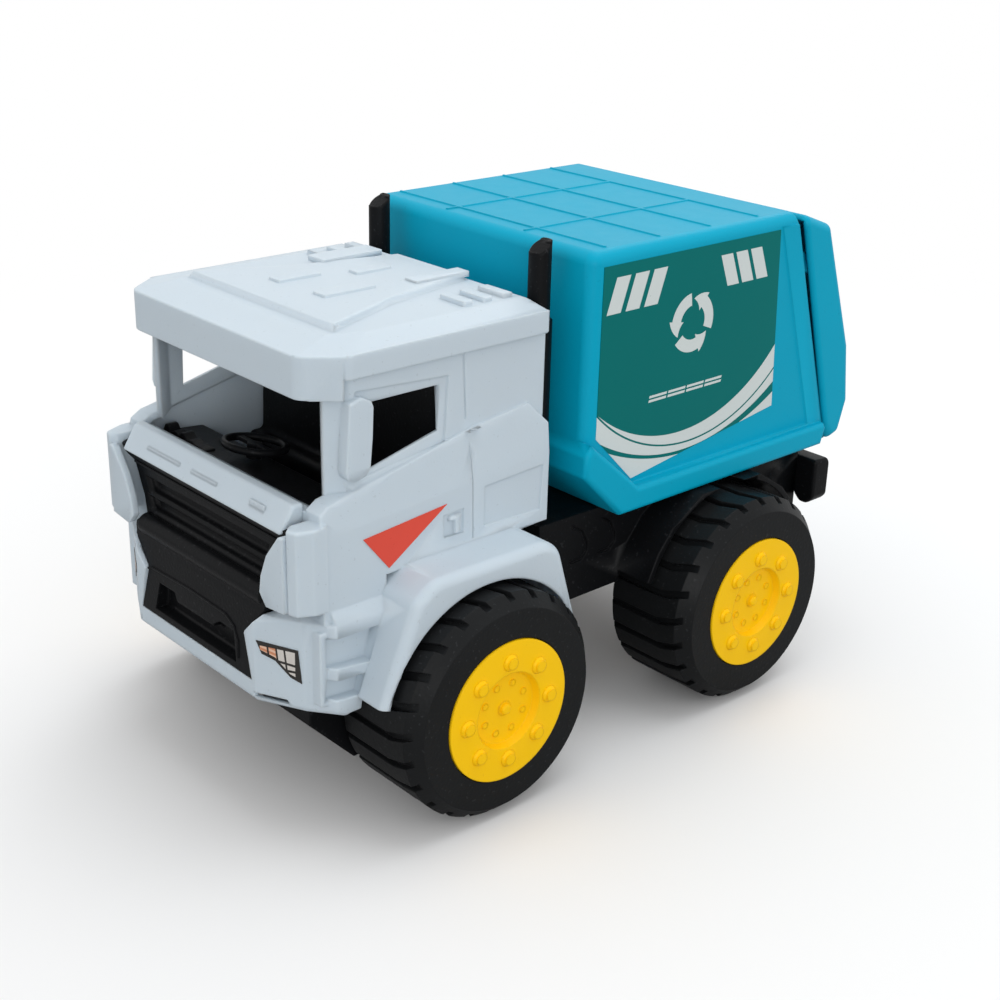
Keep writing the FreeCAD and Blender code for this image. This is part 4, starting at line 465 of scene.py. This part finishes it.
# A merged copy of a CAD node's mesh, with nearly flat faces joined where the look asks for it
def mergedMesh(nodeName, look):
    piece = bpy.data.objects.new("merging", nodes[nodeName].data.copy())
    bpy.context.collection.objects.link(piece)
    onlyThis(piece)
    bpy.ops.object.mode_set(mode="EDIT")
    bpy.ops.mesh.select_all(action="SELECT")
    bpy.ops.mesh.remove_doubles(threshold=look["mergeGap"] * mm)
    if look["flat"]:
        bpy.ops.mesh.dissolve_limited(angle_limit=radians(look["flat"]))
    bpy.ops.object.mode_set(mode="OBJECT")
    plain = piece.data
    bpy.data.objects.remove(piece)
    return plain


# A moulded copy of a CAD node: rounded in passes, and the corners that went astray stay sharp in the next one
def softened(nodeName, pieceName, look):
    plain = mergedMesh(nodeName, look)
    work = bmesh.new()
    work.from_mesh(plain)
    surface = BVHTree.FromBMesh(work)
    work.free()
    corners = KDTree(len(plain.vertices))
    for corner in plain.vertices:
        corners.insert(corner.co, corner.index)
    corners.balance()
    beside = {}
    for edge in plain.edges:
        first, second = edge.vertices
        beside.setdefault(first, set()).add(second)
        beside.setdefault(second, set()).add(first)
    always = astrayCorners(plain, surface, corners, look)
    sharp = set()
    for attempt in range(look["attempts"]):
        piece = rounded(plain, look, sharp)
        astray = astrayCorners(piece.data, surface, corners, look) - always
        if not astray or attempt == look["attempts"] - 1:
            break
        if astray <= sharp:
            astray = set().union(*(beside[corner] for corner in astray))
        sharp |= astray
        bpy.data.objects.remove(piece)
    print(pieceName, "rounded,", len(sharp), "corners left sharp,", len(astray), "astray")
    piece.name = pieceName
    settle(piece, bodyOf[nodeName], slotOf[nodeName])
    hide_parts(nodeName)


softLooks = {
    "cab_shell": ("cabShell", rounding(round=0.45)),
    "cab_roof": ("cabRoof", rounding(round=0.5)),
    "refuse_body": ("refuseBody", rounding(round=0.6)),
    "tailgate": ("tailgateShell", rounding(round=1.0, flat=0.2)),
    "grille": ("grilleFront", rounding(round=1.1, flat=0.2)),
    "rear_bumper": ("rearBumperBar", rounding(round=1.2, flat=0.2)),
    "chassis": ("chassisFrame", rounding(round=0.4)),
    "interior_tray": ("dashAndFloor", rounding(round=0.9, flat=0.2)),
    "seat_left": ("seatLeft", rounding(round=2.4, flat=0.2, steps=4)),
    "seat_right": ("seatRight", rounding(round=2.4, flat=0.2, steps=4)),
    "exhaust_stack_left": ("stackLeft", rounding(round=0.5)),
    "exhaust_stack_right": ("stackRight", rounding(round=0.5)),
}
for nodeName, (pieceName, look) in softLooks.items():
    softened(nodeName, pieceName, look)
print("moulded copies done")


# Finer moulded detail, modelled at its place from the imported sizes, all in millimetres
def startChoice(kind):
    bpy.ops.object.mode_set(mode="EDIT")
    bpy.ops.mesh.select_mode(type=kind)
    bpy.ops.mesh.select_all(action="DESELECT")
    bpy.ops.object.mode_set(mode="OBJECT")


def chooseFaces(piece, test):
    startChoice("FACE")
    for face in piece.data.polygons:
        face.select = test(face)
    bpy.ops.object.mode_set(mode="EDIT")


def chooseCorners(piece, test):
    startChoice("VERT")
    for corner in piece.data.vertices:
        corner.select = test(corner.co)
    bpy.ops.object.mode_set(mode="EDIT")


def newPiece(name, primitive, **sizes):
    bpy.ops.object.select_all(action="DESELECT")
    primitive(**sizes)
    piece = bpy.context.object
    piece.name = name
    bpy.ops.object.transform_apply(location=False, rotation=True, scale=True)
    return piece


# A block between two corners, its place already in its mesh
def newBlock(name, low, high):
    low = Vector(low) * mm
    high = Vector(high) * mm
    piece = newPiece(name, bpy.ops.mesh.primitive_cube_add, size=1, scale=tuple(high - low))
    piece.location = (low + high) / 2
    bpy.ops.object.transform_apply(location=True, rotation=False, scale=False)
    return piece


def copyOf(piece, place):
    twin = piece.copy()
    twin.data = piece.data.copy()
    bpy.context.collection.objects.link(twin)
    twin.location = place
    return twin


def joined(pieces, name):
    bpy.ops.object.select_all(action="DESELECT")
    for piece in pieces:
        piece.select_set(True)
    bpy.context.view_layer.objects.active = pieces[0]
    bpy.ops.object.join()
    pieces[0].name = name
    return pieces[0]


# Small ring marks and the nub in the dish of each hub, and a flared foot round each nut
hubLook = {
    "wheels": {"front": -57.5, "rear": 45.8}, "axleZ": 33.0, "faceX": 69.5, "dishX": 67.3,
    "ringCount": 8, "ringCircle": 7.4, "ringRadius": 1.05, "ringHeight": 0.45, "ringWall": 0.38,
    "ringSunk": 0.8, "ringSides": 18, "ringRound": 0.12, "outwardFrom": 0.9,
    "nubRadius": 1.7, "nubHeight": 1.6, "nubSides": 24, "nubRound": 0.9,
    "nutCount": 8, "nutCircle": 14.7, "footRadius": 2.7, "footTop": 1.75, "footHeight": 0.9,
    "footStand": 0.4, "footSides": 20, "footRound": 0.25,
}


def onHub(side, depth, away, turn, y, z):
    return Vector((side * depth, y + away * cos(turn), z + away * sin(turn))) * mm


def hubRing(side, look):
    ring = newPiece("hubRing", bpy.ops.mesh.primitive_cylinder_add, vertices=look["ringSides"],
                    radius=look["ringRadius"] * mm, depth=2 * look["ringHeight"] * mm,
                    rotation=(0, side * pi / 2, 0))
    chooseFaces(ring, lambda face: face.normal.x * side > look["outwardFrom"])
    bpy.ops.mesh.inset(thickness=look["ringWall"] * mm)
    bpy.ops.transform.translate(value=(-side * look["ringSunk"] * look["ringHeight"] * mm, 0, 0))
    bpy.ops.object.mode_set(mode="OBJECT")
    bevelEdges(ring, look["ringRound"], sharpFrom=40)
    return ring


def hubNub(side, look):
    nub = newPiece("hubNub", bpy.ops.mesh.primitive_cylinder_add, vertices=look["nubSides"],
                   radius=look["nubRadius"] * mm, depth=2 * look["nubHeight"] * mm,
                   rotation=(0, side * pi / 2, 0))
    bevelEdges(nub, look["nubRound"], steps=4, sharpFrom=40)
    return nub


def nutFoot(side, look):
    foot = newPiece("nutFoot", bpy.ops.mesh.primitive_cone_add, vertices=look["footSides"],
                    radius1=look["footRadius"] * mm, radius2=look["footTop"] * mm,
                    depth=look["footHeight"] * mm, rotation=(0, side * pi / 2, 0))
    bevelEdges(foot, look["footRound"], sharpFrom=20)
    return foot


def hubDetail(wheel, side, look):
    y = look["wheels"][wheel]
    z = look["axleZ"]
    parts = []
    ring = hubRing(side, look)
    for number in range(look["ringCount"]):
        turn = 2 * pi * (number + 0.5) / look["ringCount"]
        parts.append(copyOf(ring, onHub(side, look["dishX"], look["ringCircle"], turn, y, z)))
    bpy.data.objects.remove(ring)
    nub = hubNub(side, look)
    nub.location = onHub(side, look["dishX"], 0, 0, y, z)
    parts.append(nub)
    foot = nutFoot(side, look)
    footX = look["faceX"] + look["footStand"] * look["footHeight"]
    for number in range(look["nutCount"]):
        turn = 2 * pi * number / look["nutCount"]
        parts.append(copyOf(foot, onHub(side, footX, look["nutCircle"], turn, y, z)))
    bpy.data.objects.remove(foot)
    sideName = "Left" if side > 0 else "Right"
    settle(joined(parts, "hubDetail" + wheel.title() + sideName), wheel + "_wheels", "yellow_plastic")


for wheel in hubLook["wheels"]:
    for side in (1, -1):
        hubDetail(wheel, side, hubLook)
print("hub details done")


# A thin raised rib, pressed onto what carries it
def bar(name, low, high, edgeRound):
    piece = newBlock(name, low, high)
    bevelEdges(piece, edgeRound)
    return piece


# Dashboard: a wavy raised lip at the far front, ribs by the wheel and a small round button
dashLook = {
    "top": 88.0, "lip": ((-41.5, -93.6, 87.0), (-19.0, -90.2, 89.6)), "lipCuts": 15, "waveHalf": 1.7,
    "waves": ((-39.5, 2.6), (-35.0, 1.3), (-31.0, 2.2), (-26.5, 0.9), (-22.5, 0.4)), "waveDepth": 0.8,
    "smoothShare": 0.5, "smoothTimes": 3, "smoothBelow": 60,
    "ribs": (-88.6, -90.9, -93.2, -95.5), "ribHalf": 0.55, "ribX": (3.6, 13.6), "ribHeight": 0.5,
    "ribSunk": 0.3, "ribRound": 0.2,
    "button": (19.6, -90.6), "buttonRadius": 1.6, "buttonDepth": 1.6, "buttonSides": 24, "buttonRound": 0.3,
}


def dashLip(look):
    low, high = look["lip"]
    lip = newBlock("dashLip", low, high)
    bpy.ops.object.mode_set(mode="EDIT")
    bpy.ops.mesh.select_all(action="SELECT")
    bpy.ops.mesh.subdivide(number_cuts=look["lipCuts"])
    bpy.ops.object.mode_set(mode="OBJECT")
    edge = (high[2] - look["waveDepth"]) * mm
    for place, rise in look["waves"]:
        chooseCorners(lip, lambda spot: abs(spot.x - place * mm) < look["waveHalf"] * mm and spot.z > edge)
        bpy.ops.transform.translate(value=(0, 0, rise * mm))
        bpy.ops.object.mode_set(mode="OBJECT")
    smoothing = lip.modifiers.new("smoothing", "SMOOTH")
    smoothing.factor = look["smoothShare"]
    smoothing.iterations = look["smoothTimes"]
    bpy.ops.object.modifier_apply(modifier="smoothing")
    settle(lip, "truck", "black_plastic", look["smoothBelow"])


def dashRibs(look):
    left, right = look["ribX"]
    foot = look["top"] - look["ribSunk"]
    top = look["top"] + look["ribHeight"]
    ribs = []
    for y in look["ribs"]:
        low = (left, y - look["ribHalf"], foot)
        high = (right, y + look["ribHalf"], top)
        ribs.append(bar("dashRib", low, high, look["ribRound"]))
    button = newPiece("dashButton", bpy.ops.mesh.primitive_cylinder_add, vertices=look["buttonSides"],
                      radius=look["buttonRadius"] * mm, depth=look["buttonDepth"] * mm)
    button.location = Vector((*look["button"], look["top"])) * mm
    bevelEdges(button, look["buttonRound"], sharpFrom=40)
    settle(joined(ribs + [button], "dashRibs"), "truck", "black_plastic")


dashLip(dashLook)
dashRibs(dashLook)


# White belt over the grille's top: a sloping band, two flat raised dashes and an end pad. foot and top give
# the front face's lower and upper edge; each bar has its left, right, height and half its width
beltLook = {
    "halfWidth": 38.6, "foot": (-108.7, 88.0), "top": (-104.3, 95.0), "back": -101.0, "round": 0.8,
    "bars": ((-27.8, -10.8, 91.2, 0.45), (-5.3, 7.4, 91.2, 0.45), (22.6, 29.4, 91.2, 1.3)),
    "stand": 0.2, "sink": 0.6, "barRound": 0.25,
}


def frontBelt(look):
    footY, footZ = look["foot"]
    topY, topZ = look["top"]
    half = look["halfWidth"]
    belt = newBlock("frontBelt", (-half, footY, footZ), (half, look["back"], topZ))
    middleY = (look["back"] + footY) / 2 * mm
    middleZ = (topZ + footZ) / 2 * mm
    chooseCorners(belt, lambda spot: spot.y < middleY and spot.z > middleZ)
    bpy.ops.transform.translate(value=(0, (topY - footY) * mm, 0))
    bpy.ops.object.mode_set(mode="OBJECT")
    bevelEdges(belt, look["round"], steps=4)
    parts = [belt]
    for left, right, z, barHalf in look["bars"]:
        y = footY + (z - footZ) * (topY - footY) / (topZ - footZ)
        low = (left, y - look["stand"], z - barHalf)
        high = (right, y + look["sink"], z + barHalf)
        parts.append(bar("bandBar", low, high, look["barRound"]))
    settle(joined(parts, "frontBelt"), "truck", "white_plastic")


frontBelt(beltLook)


# Grille: a rounded fold across it, a thin raised line that frames the lower panel and one at the top bar
grilleLook = {
    "foldRadius": 3.1, "foldHalf": 31.0, "fold": (-106.95, 67.9), "foldSides": 40, "foldRound": 1.2,
    "line": 0.7, "lineRound": 0.22, "lineLap": 0.4,
    "frame": ((-25.0, -110.4, 56.6), (-23.0, -110.3, 57.4), (-3.0, -110.2, 58.1), (14.5, -110.3, 57.6),
              (18.6, -110.4, 55.8), (20.9, -110.8, 52.0), (21.4, -111.2, 47.5)),
    "topLine": ((-35.0, -106.75, 85.2), (35.0, -106.75, 85.2)),
}


def ridge(name, first, second, look):
    first = Vector(first) * mm
    second = Vector(second) * mm
    width = look["line"] * mm
    span = second - first
    piece = newPiece(name, bpy.ops.mesh.primitive_cube_add, size=1,
                     rotation=span.to_track_quat("X", "Z").to_euler(),
                     scale=(span.length + look["lineLap"] * width, width, width))
    piece.location = (first + second) / 2
    bevelEdges(piece, look["lineRound"])
    return piece


def grilleLines(look):
    fold = newPiece("grilleFold", bpy.ops.mesh.primitive_cylinder_add, vertices=look["foldSides"],
                    radius=look["foldRadius"] * mm, depth=2 * look["foldHalf"] * mm,
                    rotation=(0, pi / 2, 0))
    bevelEdges(fold, look["foldRound"], steps=4, sharpFrom=40)
    fold.location = Vector((0, *look["fold"])) * mm
    parts = [fold]
    for line in (look["frame"], look["topLine"]):
        for first, second in zip(line, line[1:]):
            parts.append(ridge("grilleLine", first, second, look))
    settle(joined(parts, "grilleLines"), "truck", "black_plastic")


grilleLines(grilleLook)
print("small details done")


# Floor, light and camera. The floor is pale, keeps the shadow near the truck and fades to white further out.
# floorBounce is its tone for the light that it throws back
stageLook = {
    "floorHalf": 6.0, "floorNear": 0.86, "floorBounce": 0.42, "floorRoughness": 0.9,
    "fadeStart": 0.22, "fadeSize": 0.35, "worldStrength": 0.88,
    "lamps": {
        "topLamp": {"spot": (0.1, 0.45, 2.2), "size": 1.6, "power": 14, "color": (0.96, 0.985, 1.0)},
        "keyLamp": {"spot": (1.95, -1.15, 0.5), "size": 1.2, "power": 11, "color": (1.0, 1.0, 1.0)},
        "backLamp": {"spot": (-0.7, 1.5, 1.3), "size": 1.0, "power": 4, "color": (1.0, 1.0, 1.0)},
    },
}
cameraLook = {
    "spot": (0.34013, -0.31110, 0.25015), "turn": 47.487, "tilt": 22.646, "roll": 1.508,
    "focal": 1584.9, "centre": (499.84, 496.33), "frame": 1000, "sensor": 36.0, "nearest": 0.01,
}


def paleFloor(look):
    material, shader, place = startFinish("paleFloor")
    seen = place.made("ShaderNodeLightPath")
    tone = seen * (look["floorNear"] - look["floorBounce"]) + look["floorBounce"]
    x = axisOf(place, 0) / mmPerMetre
    y = axisOf(place, 1) / mmPerMetre
    fadeEnd = look["fadeStart"] + look["fadeSize"]
    fade = place.made("ShaderNodeMapRange", {"interpolation_type": "SMOOTHSTEP"},
                      {"Value": root(x * x + y * y), "From Min": look["fadeStart"], "From Max": fadeEnd})
    far = seen * fade
    near = tone * (1 - far)
    feed(shader, "Base Color", place.made("ShaderNodeCombineColor", {}, {0: near, 1: near, 2: near}))
    feed(shader, "Emission Color", place.made("ShaderNodeCombineColor", {}, {0: far, 1: far, 2: far}))
    shader.inputs["Emission Strength"].default_value = 1.0
    shader.inputs["Roughness"].default_value = look["floorRoughness"]
    shader.inputs["Specular IOR Level"].default_value = 0.0
    return material


# White where the camera sees it, and a plain level for the light that it gives
def whiteWorld(look):
    world = bpy.data.worlds.new("studio")
    bpy.context.scene.world = world
    world.use_nodes = True
    tree = world.node_tree
    seen = Wire(tree, tree.nodes.new("ShaderNodeLightPath").outputs["Is Camera Ray"])
    tree.nodes["Background"].inputs["Color"].default_value = (1, 1, 1, 1)
    strength = seen * (1 - look["worldStrength"]) + look["worldStrength"]
    tree.links.new(strength.socket, tree.nodes["Background"].inputs["Strength"])


def addLamp(name, look):
    lamp = bpy.data.lights.new(name, "AREA")
    lamp.shape = "DISK"
    lamp.size = look["size"]
    lamp.energy = look["power"]
    lamp.color = look["color"]
    holder = bpy.data.objects.new(name, lamp)
    bpy.context.collection.objects.link(holder)
    holder.location = look["spot"]
    holder.rotation_euler = (-holder.location).to_track_quat("-Z", "Y").to_euler()


def addCamera(look):
    camera = bpy.data.objects.new("camera", bpy.data.cameras.new("camera"))
    bpy.context.collection.objects.link(camera)
    camera.location = look["spot"]
    aimed = Euler((radians(90 - look["tilt"]), 0, radians(look["turn"]))).to_matrix()
    turned = aimed @ Matrix.Rotation(radians(look["roll"]), 3, "Z")
    camera.rotation_euler = turned.to_euler()
    camera.data.sensor_width = look["sensor"]
    camera.data.lens = look["focal"] / look["frame"] * look["sensor"]
    camera.data.shift_x = 0.5 - look["centre"][0] / look["frame"]
    camera.data.shift_y = look["centre"][1] / look["frame"] - 0.5
    camera.data.clip_start = look["nearest"]
    bpy.context.scene.camera = camera


def makeStage(look):
    bpy.ops.object.select_all(action="DESELECT")
    bpy.ops.mesh.primitive_plane_add(size=2 * look["floorHalf"], location=(0, 0, 0))
    floor = bpy.context.object
    floor.name = "floor"
    floor.data.materials.append(paleFloor(look))
    whiteWorld(look)
    for name, lampLook in look["lamps"].items():
        addLamp(name, lampLook)


makeStage(stageLook)
addCamera(cameraLook)
bpy.context.scene.view_settings.view_transform = "Standard"
print("stage done")
